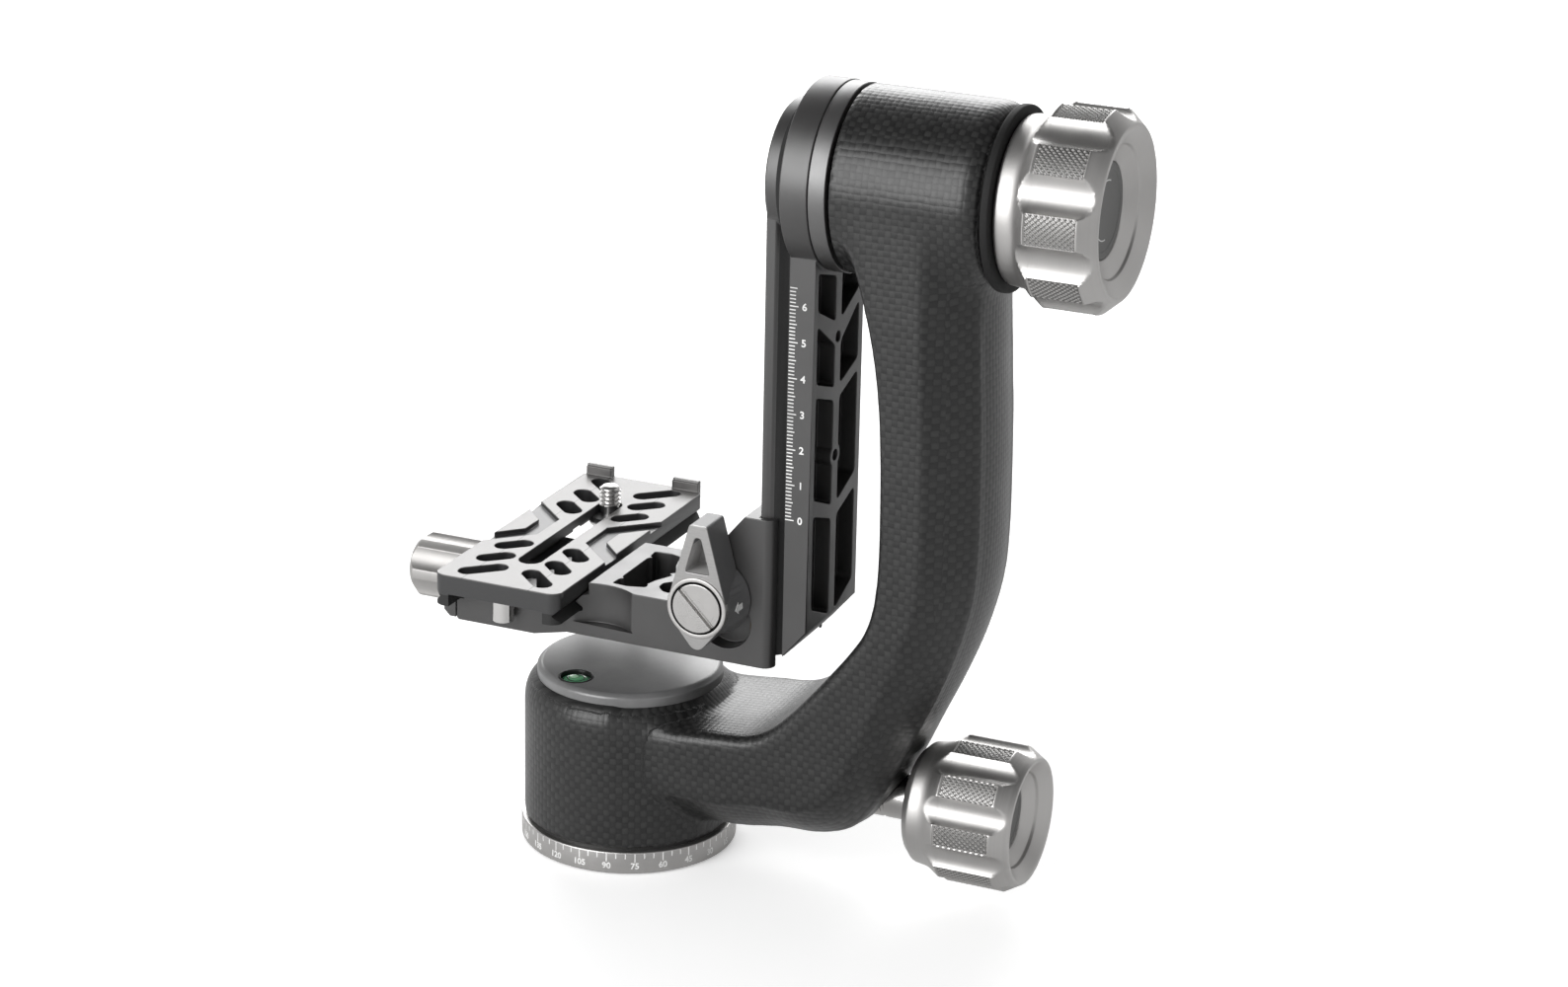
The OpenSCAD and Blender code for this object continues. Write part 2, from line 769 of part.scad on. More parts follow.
module tilt_bearing_inner_rings() {
    color("lightsteelblue") at_tilt_bearings() inner_ring();
}

module tilt_spindle() {
    color("darkgray") difference() {
        translate([0, 0, tilt_z]) {
            rod_x(disc_x1, tilt_brg_x0, spindle_flange_r);
            rod_x(disc_x1, tilt_spindle_x1, brg_bore_r);
            rod_x(tilt_brg_x0 + brg_w, tilt_brg_x1, drum_r);
        }
        at_head_screws() rod_x(disc_x1 - over, tilt_brg_x0 - edge, head_screw_r + fit_gap);
    }
}

module tilt_retaining_nut() {
    color("dimgray") translate([tilt_nut_x0, 0, tilt_z]) rotate([0, 90, 0]) lock_nut();
}

module tilt_brake_pad() {
    color("peru") translate([0, 0, tilt_z]) rod_x(brake_pad_x0, brake_pad_x0 + brake_pad_t, drum_r);
}

module tilt_lock_bush() {
    color("goldenrod") translate([0, 0, tilt_z]) difference() {
        rod_x(lock_bush_x0, tube_x1, brg_od_r);
        rod_x(lock_bush_x0 - over, tube_x1 + over, stud_r + fit_gap);
    }
}

module tilt_seal_ring() {
    color("black") translate([tube_x1, 0, tilt_z]) rotate([0, 90, 0])
        sleeve(seal_r, seal_bore_r, seal_t);
}

module tilt_lock_stud() {
    color("gainsboro") translate([0, 0, tilt_z])
        rod_x(lock_bush_x0, tilt_knob_x0 + tilt_knob_l / 3, stud_r);
}

module tilt_knob() {
    color("silver") translate([tilt_knob_x0, 0, tilt_z]) lock_knob(tilt_knob_r, tilt_knob_l, edge);
}

module tilt_knob_disc() {
    color("gray") translate([tilt_knob_x0, 0, tilt_z]) knob_disc(tilt_knob_r, tilt_knob_l);
}

module pivot_disc() {
    color("#1d1d1f") difference() {
        translate([head_x1, 0, tilt_z]) rotate([0, 90, 0])
            rim_disc(rail_head_r - edge / 2, disc_t, edge / 2);
        at_head_screws() rod_x(rail_x0, disc_x1 + over, head_screw_r + fit_gap);
    }
}

module at_head_screws() {
    for (a = [45, 135, 225, 315])
        translate([0, head_screw_circle_r * cos(a), tilt_z + head_screw_circle_r * sin(a)]) children();
}

module rail_head_screws() {
    color("dimgray") at_head_screws() {
        rod_x(dovetail_x0 + edge, dovetail_x0 + edge + head_screw_head_t, head_screw_head_r);
        rod_x(dovetail_x0 + edge, tilt_brg_x0 - 2 * edge, head_screw_r);
    }
}

// Plan outline of the rail's dovetail, drawn as X and Y
module dovetail_outline() {
    xs = rail_x0 - waist_l;
    polygon([[rail_x0 + over, waist_half], [xs, waist_half], [xs - flare, waist_half + flare],
        [dovetail_x0, waist_half + flare], [dovetail_x0, -waist_half - flare],
        [xs - flare, -waist_half - flare], [xs, -waist_half], [rail_x0 + over, -waist_half]]);
}

// One side's pockets in the rail, drawn as Y and Z
module rail_pocket_column() {
    rise = tilt_z - rail_z0;
    for (p = rail_pocket_shares)
        polygon(eased([[spine_half, rail_z0 + p[0] * rise], [pocket_half, rail_z0 + p[1] * rise],
            [pocket_half, rail_z0 + p[3] * rise], [spine_half, rail_z0 + p[2] * rise]], pocket_round));
}

module rail_lower_chamfer() {
    along_y(-rail_w, rail_w) polygon([[rail_x1 - rail_chamfer_x, rail_z0],
        [rail_x1 + over, rail_z0 + rail_chamfer_z + over * rail_chamfer_z / rail_chamfer_x],
        [rail_x1 + over, rail_z0 - over], [rail_x1 - rail_chamfer_x - over, rail_z0 - over]]);
}

module rail() {
    color("#242427") difference() {
        union() {
            difference() {
                union() {
                    translate([rail_x0, -rail_w / 2, rail_z0]) cube([rail_t, rail_w, tilt_z - rail_z0]);
                    translate([0, 0, rail_z0]) linear_extrude(tilt_z - rail_z0) dovetail_outline();
                    translate([rail_x0, 0, tilt_z]) rotate([0, 90, 0])
                        rim_disc(rail_head_r, head_x1 - rail_x0, edge / 2);
                    translate([dovetail_x0, 0, tilt_z]) rotate([0, 90, 0])
                        rim_disc(back_head_r, dovetail_t, edge);
                }
                along_x(rail_x1 - rail_pocket_d, rail_x1 + over) {
                    rail_pocket_column();
                    mirror([1, 0]) rail_pocket_column();
                }
            }
            translate([0, 0, strip_screw_z[0]]) rod_x(rail_x0, rail_x1, strip_boss_r);
        }
        rail_lower_chamfer();
        for (z = strip_screw_z) translate([0, 0, z])
            rod_x(dovetail_x0 - over, rail_x1 + over, strip_screw_r + fit_gap);
        at_head_screws() {
            rod_x(dovetail_x0 - over, dovetail_x0 + edge + head_screw_head_t, head_screw_head_r + shim);
            rod_x(dovetail_x0, head_x1 + over, head_screw_r + fit_gap);
        }
    }
}

module rail_stop_strip() {
    color("#2e2e31") difference() {
        translate([dovetail_x0 - strip_t, -strip_half, strip_z0])
            cube([strip_t, 2 * strip_half, strip_z1 - strip_z0]);
        for (z = strip_screw_z) translate([dovetail_x0 - strip_t, 0, z]) rotate([0, 90, 0])
            countersunk(strip_screw_r, strip_t + over, fit_gap);
    }
}

module rail_strip_screws() {
    color("dimgray") for (z = strip_screw_z) translate([dovetail_x0 - strip_t, 0, z])
        rotate([0, 90, 0]) countersunk(strip_screw_r, dovetail_t + strip_t + rail_t - 2 * edge, 0);
}

// Side outline of neck and upright, drawn as X and Z
module cradle_side() {
    polygon([[jaw_x1, neck_z0], [upright_x1, neck_z0], [upright_x1, upright_z1],
        [upright_x1 - upright_top_t, upright_z1],
        [lever_x + 0.39 * lever_boss_r, lever_z + 1.92 * lever_boss_r],
        [lever_x - 0.1 * lever_boss_r, lever_z + lever_boss_r],
        [lever_x - lever_boss_r, neck_z1], [jaw_x1, neck_z1]]);
}

// Clamp block with its bed and fixed jaw, drawn as X and Z
module clamp_side() {
    xr = jaw_seat_x;
    lip = foot_flare - slide_gap / 2;
    polygon([[clamp_x0, neck_z0 + edge], [clamp_x0 + edge, neck_z0], [jaw_x1 + over, neck_z0],
        [jaw_x1 + over, jaw_top_z], [xr, jaw_top_z],
        [xr - lip, jaw_top_z - groove_d + slide_gap / 2], [xr, floor_z + foot_lip + slide_gap],
        [xr, floor_z], [plate_x + foot_inner_half - slide_gap, floor_z],
        [plate_x + foot_inner_half - slide_gap, bed_z],
        [plate_x - foot_inner_half + slide_gap, bed_z],
        [plate_x - foot_inner_half + slide_gap, floor_z], [clamp_x0, floor_z]]);
}

// Plan of the clamp block, which narrows to the neck, drawn as X and Y
module clamp_plan() {
    h = neck_w / 2;
    polygon([[clamp_x0 - over, -block_y], [clamp_x1, -block_y], [neck_x0, -h], [jaw_x1 + 2 * over, -h],
        [jaw_x1 + 2 * over, h], [neck_x0, h], [clamp_x1, block_y], [clamp_x0 - over, block_y]]);
}

// Plan of neck and upright with round corners beside the rail, drawn as X and Y
module neck_plan() {
    x = upright_x1 - upright_round;
    y = neck_w / 2 - upright_round;
    polygon(concat([[jaw_x1 - over, -neck_w / 2]],
        arc(x, -y, upright_round, 270, 360, 6),
        arc(x, y, upright_round, 0, 90, 6),
        [[jaw_x1 - over, neck_w / 2]]));
}

// Vertical space of the rail's dovetail and its stop strip in the upright
module rail_channel() {
    g = slide_gap;
    xs = rail_x0 - waist_l;
    translate([0, 0, neck_z0 - over]) linear_extrude(upright_z1 - neck_z0 + 2 * over) {
        polygon([[upright_x1 + over, waist_half + g], [xs - g / 2, waist_half + g],
            [xs - flare - g / 2, waist_half + flare + g], [gib_x1, waist_half + flare + g],
            [gib_x1, -waist_half - flare - g], [xs - flare - g / 2, -waist_half - flare - g],
            [xs - g / 2, -waist_half - g], [upright_x1 + over, -waist_half - g]]);
        translate([dovetail_x0 - strip_t - g, -strip_half - g])
            square([strip_t + over, 2 * (strip_half + g)]);
    }
}

module cradle_bracket() {
    half = neck_w / 2;
    color("#252528") difference() {
        union() {
            intersection() {
                along_y(-half, half) cradle_side();
                translate([0, 0, neck_z0 - over]) linear_extrude(upright_z1) neck_plan();
            }
            intersection() {
                along_y(-block_y, block_y) clamp_side();
                translate([0, 0, neck_z0 - over]) linear_extrude(plate_z - neck_z0) clamp_plan();
            }
        }
        // Scoop that frees the plate beside the neck
        translate([scoop_x, scoop_in - half - scoop_r, floor_z - scoop_d])
            cylinder(r = scoop_r, h = upright_z1);
        // Lightening pockets
        translate([0, 0, neck_z1 - neck_pocket_d]) linear_extrude(neck_pocket_d + over)
            for (s = [-1, 1]) for (p = neck_pocket_shares)
                polygon(eased([for (q = p) [q[0] * neck_run, s * q[1] * half]], neck_pocket_round));
        rail_channel();
        // Gib, push pin and cam
        translate([gib_x0 - shim, -gib_half - shim, gib_z0 - shim])
            cube([gib_t + over, 2 * (gib_half + shim), gib_h + 2 * shim]);
        translate([0, 0, lever_z]) rod_x(lever_x, gib_x0 + over, push_r + shim);
        translate([lever_x, 0, lever_z]) rod_y(-half - over, cam_y1 + shim, cam_r + fit_gap);
        // Finger relief beside the lever's tail
        translate([lever_x + 0.34 * lever_boss_r, 0, lever_z - 0.78 * lever_boss_r])
            rod_y(-half - over, relief_d - half, relief_r);
        // Clamp screw and guide pins
        translate([0, 0, clamp_axis_z]) rod_x(clamp_x0 - over, jaw_out_x + clamp_screw_l + over,
            clamp_screw_r + fit_gap);
        for (s = [-1, 1]) translate([0, s * guide_y, clamp_axis_z])
            rod_x(clamp_x0 - over, clamp_x0 + guide_l, guide_r + fit_gap);
    }
}

module height_gib() {
    color("goldenrod") difference() {
        translate([gib_x0, -gib_half, gib_z0]) cube([gib_t, 2 * gib_half, gib_h]);
        translate([dovetail_x0 - strip_t - slide_gap, -strip_half - slide_gap, gib_z0 - over])
            cube([strip_t + over, 2 * (strip_half + slide_gap), gib_h + 2 * over]);
    }
}

module height_push_pin() {
    color("silver") translate([0, 0, lever_z]) rod_x(lever_x + cam_r + shim, gib_x0 - shim, push_r);
}

module height_cam_shaft() {
    color("silver") translate([lever_x, 0, lever_z]) {
        rod_y(lever_y0 + screw_head_t, -push_r - cam_shoulder, cam_r);
        rod_y(push_r + cam_shoulder, cam_y1, cam_r);
        translate([cam_throw - shim, 0, 0])
            rod_y(-push_r - cam_shoulder, push_r + cam_shoulder, cam_r - cam_throw);
    }
}

// Direction of the common tangent of two rounds, the second one at x and z
function tangent_angle(r1, r2, x, z) = atan2(z, x) - 90 + asin((r1 - r2) / norm([x, z]));

// Outline of the lever: the eye with its blunt tip above and its tail below
module lever_outline() {
    tip_z = lever_l - lever_tip_r;
    up = tangent_angle(lever_eye_r, lever_tip_r, lever_tip_half, tip_z);
    down = tangent_angle(lever_eye_r, lever_tail_r, 0, lever_tail_l);
    polygon(concat(
        arc(0, 0, lever_eye_r, -down, up, 8),
        arc(lever_tip_half, tip_z, lever_tip_r, up, 90, 4),
        arc(-lever_tip_half, tip_z, lever_tip_r, 90, 180 - up, 4),
        arc(0, 0, lever_eye_r, 180 - up, 180 + down, 8),
        arc(0, -lever_tail_l, lever_tail_r, 180 + down, 360 - down, 6)));
}

module height_lever() {
    color("#3a3a3d") translate([lever_x, 0, lever_z]) difference() {
        union() {
            along_y(lever_y0, lever_y1) lever_outline();
            // Hub that widens towards the cradle
            translate([0, lever_y1, 0]) rotate([90, 0, 0])
                cylinder(r1 = lever_hub_r, r2 = lever_eye_r - edge, h = lever_d - edge);
        }
        // Three-cornered pocket in the arm of the lever
        along_y(lever_y0 - over, lever_y1 - screw_head_t)
            polygon(eased([[-0.42 * lever_eye_r, 0.42 * lever_l], [0.42 * lever_eye_r, 0.42 * lever_l],
                [0.1 * lever_eye_r, 0.85 * lever_l], [-0.1 * lever_eye_r, 0.85 * lever_l]],
                pocket_round / 2));
        rod_y(lever_y0 - over, lever_y0 + screw_head_t, lever_cap_r + shim);
        rod_y(lever_y0, lever_y1 + over, cam_r + fit_gap);
    }
}

module lever_screw_cap() {
    color("silver") translate([lever_x, 0, lever_z]) difference() {
        rod_y(lever_y0 - edge, lever_y0 + screw_head_t, lever_cap_r);
        rotate([0, 45, 0]) translate([-lever_cap_r - over, lever_y0 - edge - over, -edge])
            cube([2 * (lever_cap_r + over), over + 2 * edge, 2 * edge]);
    }
}

// Moving jaw, drawn as X and Z
module jaw_side() {
    xl = plate_x - foot_half - slide_gap;
    lip = foot_flare - slide_gap / 2;
    polygon([[clamp_x0 - slide_gap, neck_z0 + edge], [clamp_x0 - slide_gap, floor_z], [xl, floor_z],
        [xl, floor_z + foot_lip + slide_gap], [xl + lip, jaw_top_z - groove_d + slide_gap / 2],
        [xl, jaw_top_z], [jaw_out_x + edge, jaw_top_z], [jaw_out_x, jaw_top_z - edge],
        [jaw_out_x, neck_z0 + 4 * edge], [jaw_out_x + 3 * edge, neck_z0 + edge]]);
}

module clamp_jaw() {
    color("#29292c") difference() {
        along_y(-block_y, block_y) jaw_side();
        translate([0, 0, clamp_axis_z]) rod_x(jaw_out_x - over, clamp_x0 + over, clamp_screw_r + shim);
        for (s = [-1, 1]) translate([0, s * guide_y, clamp_axis_z])
            rod_x(jaw_out_x + 2 * edge, clamp_x0 + over, guide_r + fit_gap);
    }
}

module jaw_guide_pins() {
    color("gainsboro") for (s = [-1, 1]) translate([0, s * guide_y, clamp_axis_z])
        rod_x(jaw_out_x + 2 * edge + shim, clamp_x0 + guide_l - 2 * edge, guide_r);
}

module clamp_screw() {
    color("gainsboro") translate([0, 0, clamp_axis_z])
        rod_x(jaw_out_x - clamp_knob_l / 3, jaw_out_x + clamp_screw_l, clamp_screw_r);
}

module clamp_knob() {
    k = clamp_knob_r;
    c = clamp_knob_edge;
    color("silver") translate([jaw_out_x - slide_gap, 0, clamp_axis_z]) difference() {
        mirror([1, 0, 0]) turn_x() polygon([[0, 0], [0.75 * k, 0], [0.75 * k, c], [k, 2.5 * c],
            [k, clamp_knob_l - 2 * c], [k - 2 * c, clamp_knob_l], [0, clamp_knob_l]]);
        for (i = [0 : 5])
            rotate([i * 60, 0, 0]) translate([0, 0, 1.42 * k]) rod_x(-clamp_knob_l - over, over, 0.6 * k);
        rod_x(-clamp_knob_l / 3, over, clamp_screw_r + fit_gap);
    }
}

// End outline of the plate, drawn as X and Z
module plate_side() {
    h = plate_w / 2;
    half = [[foot_inner_half, -plate_h], [foot_half, -plate_h], [foot_half, foot_lip - plate_h],
        [h - groove_d, -slab_t - groove_d], [h, -slab_t], [h, -edge / 2], [h - edge / 2, 0]];
    polygon(concat([for (p = half) p], [for (i = [6 : -1 : 0]) [-half[i][0], half[i][1]]],
        [[-foot_inner_half, -plate_web_t], [foot_inner_half, -plate_web_t]]));
}

// Plan of the plate with round corners
module plate_plan() {
    x = plate_w / 2;
    y = plate_l / 2;
    r = plate_corner_r;
    square([2 * (x + over), 2 * (y - r)], center = true);
    square([2 * (x - r), 2 * y], center = true);
    for (sx = [-1, 1]) for (sy = [-1, 1]) translate([sx * (x - r), sy * (y - r)]) circle(r = r);
}

// Slot with round ends, half length a, along the X axis
module round_slot(a, r) {
    square([2 * a, 2 * r], center = true);
    for (s = [-1, 1]) translate([s * a, 0]) circle(r = r);
}

module plate_cuts() {
    // Slot of the camera screw and the wider slot of its head
    mid = (plate_slot_y0 + plate_slot_y1) / 2 - plate_y;
    run = (plate_slot_y1 - plate_slot_y0) / 2;
    translate([0, mid, -plate_h]) linear_extrude(plate_h + over) rotate(90)
        round_slot(run - plate_slot_w / 2, plate_slot_w / 2);
    translate([0, mid, -plate_web_t - over]) linear_extrude(head_slot_d + over) rotate(90)
        round_slot(run, head_slot_w / 2);
    // Slanted slots, mirrored to the four quarters
    for (sx = [-1, 1]) for (sy = [-1, 1]) for (s = side_slot_shares)
        translate([sx * s[0] * plate_w, sy * s[1] * plate_l, -plate_h]) linear_extrude(plate_h + over)
            rotate(sx * sy * 43) round_slot(s[2] * plate_w, side_slot_r);
    // Channel and island at both edges
    for (sx = [-1, 1])
        translate([0, 0, -zig_d]) linear_extrude(zig_d + over) difference() {
            edge_step(sx, channel_shares);
            edge_step(sx, island_shares);
        }
}

// Four-cornered step at one edge of the plate
module edge_step(side, rows) {
    x = side * plate_w;
    y = plate_l;
    polygon([[x * rows[1][0], -y * rows[1][1]], [x * rows[0][0], -y * rows[0][1]],
        [x * rows[0][0], y * rows[0][1]], [x * rows[1][0], y * rows[1][1]]]);
}

module quick_release_plate() {
    color("#333337") translate([plate_x, plate_y, plate_z]) {
        difference() {
            intersection() {
                along_y(-plate_l / 2, plate_l / 2) plate_side();
                translate([0, 0, -plate_h]) linear_extrude(plate_h) plate_plan();
            }
            plate_cuts();
            for (s = [-1, 1]) translate([0, s * (plate_y - stop_pin_y), -plate_h - over])
                cylinder(r = stop_pin_r - 0.4 * edge + fit_gap, h = plate_h - edge);
        }
        // Ribbed lugs that stop the camera from twisting
        for (s = [-1, 1]) translate([s * (plate_w / 2 - lug_inset - lug_w / 2), plate_l / 2, 0])
            anti_twist_lug();
    }
}

module anti_twist_lug() {
    translate([-lug_w / 2, -lug_t, -slab_t / 2]) cube([lug_w, lug_t, lug_h + slab_t / 2 - edge]);
    translate([-lug_w / 2, -0.7 * lug_t, lug_h - edge]) cube([lug_w, 0.7 * lug_t, edge]);
}

module plate_stop_pins() {
    color("gainsboro") for (s = [-1, 1])
        translate([plate_x, plate_y + s * (plate_y - stop_pin_y), plate_z]) {
            translate([0, 0, -plate_web_t - stop_pin_l - shim])
                cylinder(r = stop_pin_r, h = stop_pin_l);
            translate([0, 0, -plate_web_t - shim])
                cylinder(r = stop_pin_r - 0.4 * edge, h = plate_web_t / 2);
        }
}

module camera_screw() {
    color("gainsboro") translate([plate_x, camera_screw_y, plate_z]) difference() {
        union() {
            translate([0, 0, -plate_web_t + edge / 2])
                cylinder(r = head_slot_w / 2 - slide_gap, h = screw_head_t);
            translate([0, 0, -plate_web_t + edge / 2])
                cylinder(r = screw_r - screw_neck, h = plate_web_t - edge / 2 + slide_gap);
            translate([0, 0, slide_gap]) cylinder(r = screw_r, h = screw_h - slide_gap);
        }
        translate([-head_slot_w, -edge, -plate_web_t - over])
            cube([2 * head_slot_w, 2 * edge, over + 2 * edge]);
    }
}

module camera_screw_washer() {
    color("black") translate([plate_x, camera_screw_y, plate_z - plate_web_t + edge / 2 + screw_head_t])
        sleeve(head_slot_w / 2 - slide_gap, screw_r - screw_neck + fit_gap,
            head_slot_d - screw_head_t - edge / 2 - fit_gap);
}

pan_base_ring();
tripod_thread_bush();
base_screws();
pan_spindle();
pan_friction_washer();
pan_bearing_inner_rings();
pan_bearing_outer_rings();
pan_bearing_balls();
pan_retaining_nut();
arm_shell();
pan_cap();
level_well();
level_vial();
pan_brake_shoe();
pan_lock_bush();
pan_lock_shaft();
pan_lock_oring();
pan_knob();
pan_knob_disc();
tilt_bearing_outer_rings();
tilt_bearing_balls();
tilt_bearing_inner_rings();
tilt_spindle();
tilt_retaining_nut();
tilt_brake_pad();
tilt_lock_bush();
tilt_seal_ring();
tilt_lock_stud();
tilt_knob();
tilt_knob_disc();
pivot_disc();
rail();
rail_head_screws();
rail_stop_strip();
rail_strip_screws();
cradle_bracket();
height_gib();
height_push_pin();
height_cam_shaft();
height_lever();
lever_screw_cap();
clamp_jaw();
jaw_guide_pins();
clamp_screw();
clamp_knob();
quick_release_plate();
plate_stop_pins();
camera_screw();
camera_screw_washer();
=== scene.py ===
"""Finished surfaces of a gimbal tripod head, laid over its solids.

Lengths in the operators are millimetres in the frame of the solids: origin at the mouth of
the tripod thread, Z up along the pan axis, X towards the tilt knob.
"""

import math

import bmesh
import bpy
import numpy as np
from bpy.props import FloatProperty, FloatVectorProperty, IntProperty, PointerProperty
from mathutils import Matrix, Vector


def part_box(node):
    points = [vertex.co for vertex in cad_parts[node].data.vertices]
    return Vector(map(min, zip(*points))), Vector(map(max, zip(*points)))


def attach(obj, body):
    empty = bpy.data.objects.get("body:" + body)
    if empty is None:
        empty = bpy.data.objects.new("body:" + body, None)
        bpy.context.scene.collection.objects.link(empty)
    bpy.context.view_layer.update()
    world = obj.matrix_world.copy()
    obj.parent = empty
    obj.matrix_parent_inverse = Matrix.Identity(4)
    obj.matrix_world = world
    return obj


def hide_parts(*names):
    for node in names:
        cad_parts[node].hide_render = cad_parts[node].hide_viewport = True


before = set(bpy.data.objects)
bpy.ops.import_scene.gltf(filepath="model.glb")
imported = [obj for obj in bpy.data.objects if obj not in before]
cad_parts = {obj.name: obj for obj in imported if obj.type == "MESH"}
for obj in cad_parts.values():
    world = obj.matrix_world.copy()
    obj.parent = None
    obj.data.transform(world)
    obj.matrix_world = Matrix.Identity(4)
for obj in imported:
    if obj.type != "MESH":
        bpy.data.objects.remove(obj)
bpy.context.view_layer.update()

bl_info = {
    "name": "Gimbal tripod head",
    "version": (1, 0, 0),
    "blender": (4, 5, 0),
    "location": "3D View > Sidebar > Tripod head",
    "description": "Builds the finished surfaces and the studio of a gimbal tripod head",
    "category": "Add Mesh",
}

MM = 0.001
TURN = 2 * math.pi


def corners(node):
    """Lowest and highest corner of a solid, in millimetres."""
    return np.round(np.array(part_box(node)) / MM, 3).tolist()


def middle(node):
    """Middle of a solid's box, in millimetres."""
    return np.round(np.mean(corners(node), 0), 3).tolist()


# Main lines of the head in millimetres, read from the solids' boxes where those show them
TILT_Z = middle("tilt_knob")[2]
PAN_LOCK_Z = middle("pan_knob")[2]
REACH = corners("tilt_seal_ring")[0][0]
LEG_Z = 31.0
ARM_HALF = 25.0
HOUSING_R = 29.8
HOUSING_Z0 = corners("arm_shell")[0][2]
HOUSING_TOP = 50.4
TUBE_R = round(corners("arm_shell")[1][2] - TILT_Z, 3)
TUBE_X0 = 67.4
BEARING_SEAT_R = 19.05
CAP_Z0 = corners("pan_cap")[0][2]
CAP_R, _, CAP_TOP = corners("pan_cap")[1]
RING_R, _, RING_TOP = corners("pan_base_ring")[1]
LEVEL_X, LEVEL_Y, LEVEL_Z0 = -8.05, -18.09, corners("level_well")[0][2]
PLATE_X = middle("quick_release_plate")[0]
PLATE_Z = 81.7
LEVER_X, _, LEVER_Z = middle("lever_screw_cap")
LEVER_FRONT = corners("height_lever")[0][1]
RAIL_FACE = -17.2
SCALE_ZERO = 109.3

# Arm sections from the housing to the tilt tube: inner and outer point, as shares of the
# reach and of the rise from the leg to the tilt axis
ARM_STATION_SHARES = np.array([
    [0.074, 0.077, 0.074, -0.106], [0.202, 0.079, 0.202, -0.106],
    [0.330, 0.084, 0.349, -0.106], [0.422, 0.090, 0.495, -0.092],
    [0.482, 0.107, 0.606, -0.087], [0.537, 0.139, 0.699, -0.061],
    [0.592, 0.179, 0.776, 0.008], [0.647, 0.222, 0.844, 0.100],
    [0.697, 0.264, 0.905, 0.185], [0.736, 0.305, 0.954, 0.267],
    [0.758, 0.355, 0.989, 0.355], [0.767, 0.428, 1.000, 0.434],
    [0.766, 0.534, 1.000, 0.534], [0.760, 0.639, 0.996, 0.639],
    [0.746, 0.727, 0.989, 0.727], [0.721, 0.809, 0.983, 0.809],
    [0.684, 0.885, 0.983, 0.885], [0.638, 0.956, 0.983, 0.956],
    [0.622, 1.000, 0.983, 1.000]])


# Settings


def tint(name, value, text):
    """A colour setting."""
    return FloatVectorProperty(name=name, description=text, default=value, size=3,
                               min=0.0, max=1.0, subtype="COLOR")


def length(name, value, text):
    """A length setting, in metres."""
    return FloatProperty(name=name, description=text, default=value * MM, min=0.0,
                         precision=5, unit="LENGTH", subtype="DISTANCE")


def share(name, value, text):
    """A setting between 0 and 1."""
    return FloatProperty(name=name, description=text, default=value, min=0.0, max=1.0,
                         subtype="FACTOR")


class TripodHeadShell(bpy.types.PropertyGroup):
    """Carbon arm"""
    cell: length("Weave cell", 1.75, "Width of one crossing of the carbon cloth")
    grain: length("Surface grain", 0.85, "Grid of the moulded surface before it is smoothed")
    # Painted sheen: the dark and light tows are one black fibre, and the lighter tone stands in for the
    # light the rising tows catch
    dark: tint("Cloth, dark tow", (0.003, 0.003, 0.0032), "Colour of the receding tows")
    light: tint("Cloth, light tow", (0.031, 0.031, 0.0305), "Colour of the rising tows")
    sheen: share("Roughness", 0.34, "Roughness of the clear matt lacquer")


class TripodHeadMetals(bpy.types.PropertyGroup):
    """Metals and plastics"""
    edge: length("Edge break", 0.25, "Width of the broken edges of milled pieces")
    black: tint("Black anodise", (0.022, 0.021, 0.021), "Blasted black aluminium")
    # Painted light: the plate's top takes this lighter grey than its black walls
    graphite: tint("Graphite anodise", (0.14, 0.136, 0.133), "Grey top of the plate")
    silver: tint("Satin silver", (0.57, 0.56, 0.55), "Lock knobs and base ring")
    steel: tint("Bright steel", (0.72, 0.71, 0.70), "Polished pins and screws")
    brass: tint("Brass", (0.62, 0.44, 0.19), "Lock bushes")


class TripodHeadKnobs(bpy.types.PropertyGroup):
    """Lock knobs"""
    flutes: IntProperty(name="Flutes", description="Scoops round a knob", default=9, min=3, max=16)
    knurl: length("Knurl depth", 0.50, "Height of the diamond knurl")
    pitch: length("Knurl pitch", 1.45, "Length of a diamond along the knob")


class TripodHeadMarks(bpy.types.PropertyGroup):
    """Scales"""
    paint: tint("Scale paint", (0.80, 0.80, 0.79), "Paint of lines and numbers")
    line: length("Line width", 0.30, "Width of a scale line")
    digit: length("Digit height", 2.0, "Height of the numbers on the rail")


class TripodHeadStudio(bpy.types.PropertyGroup):
    """Studio"""
    floor: tint("Floor", (0.86, 0.86, 0.86), "Colour of the pale floor")
    key: FloatProperty(name="Key lamp", description="Radiance of the front softbox",
                       default=4.8, min=0.0)
    back: FloatProperty(name="Back lamp", description="Radiance of the softbox behind",
                        default=5.2, min=0.0)
    lens: FloatProperty(name="Lens", description="Focal length of the camera", default=89.02,
                        min=10.0, max=400.0, subtype="DISTANCE_CAMERA")


# Shader maths and materials


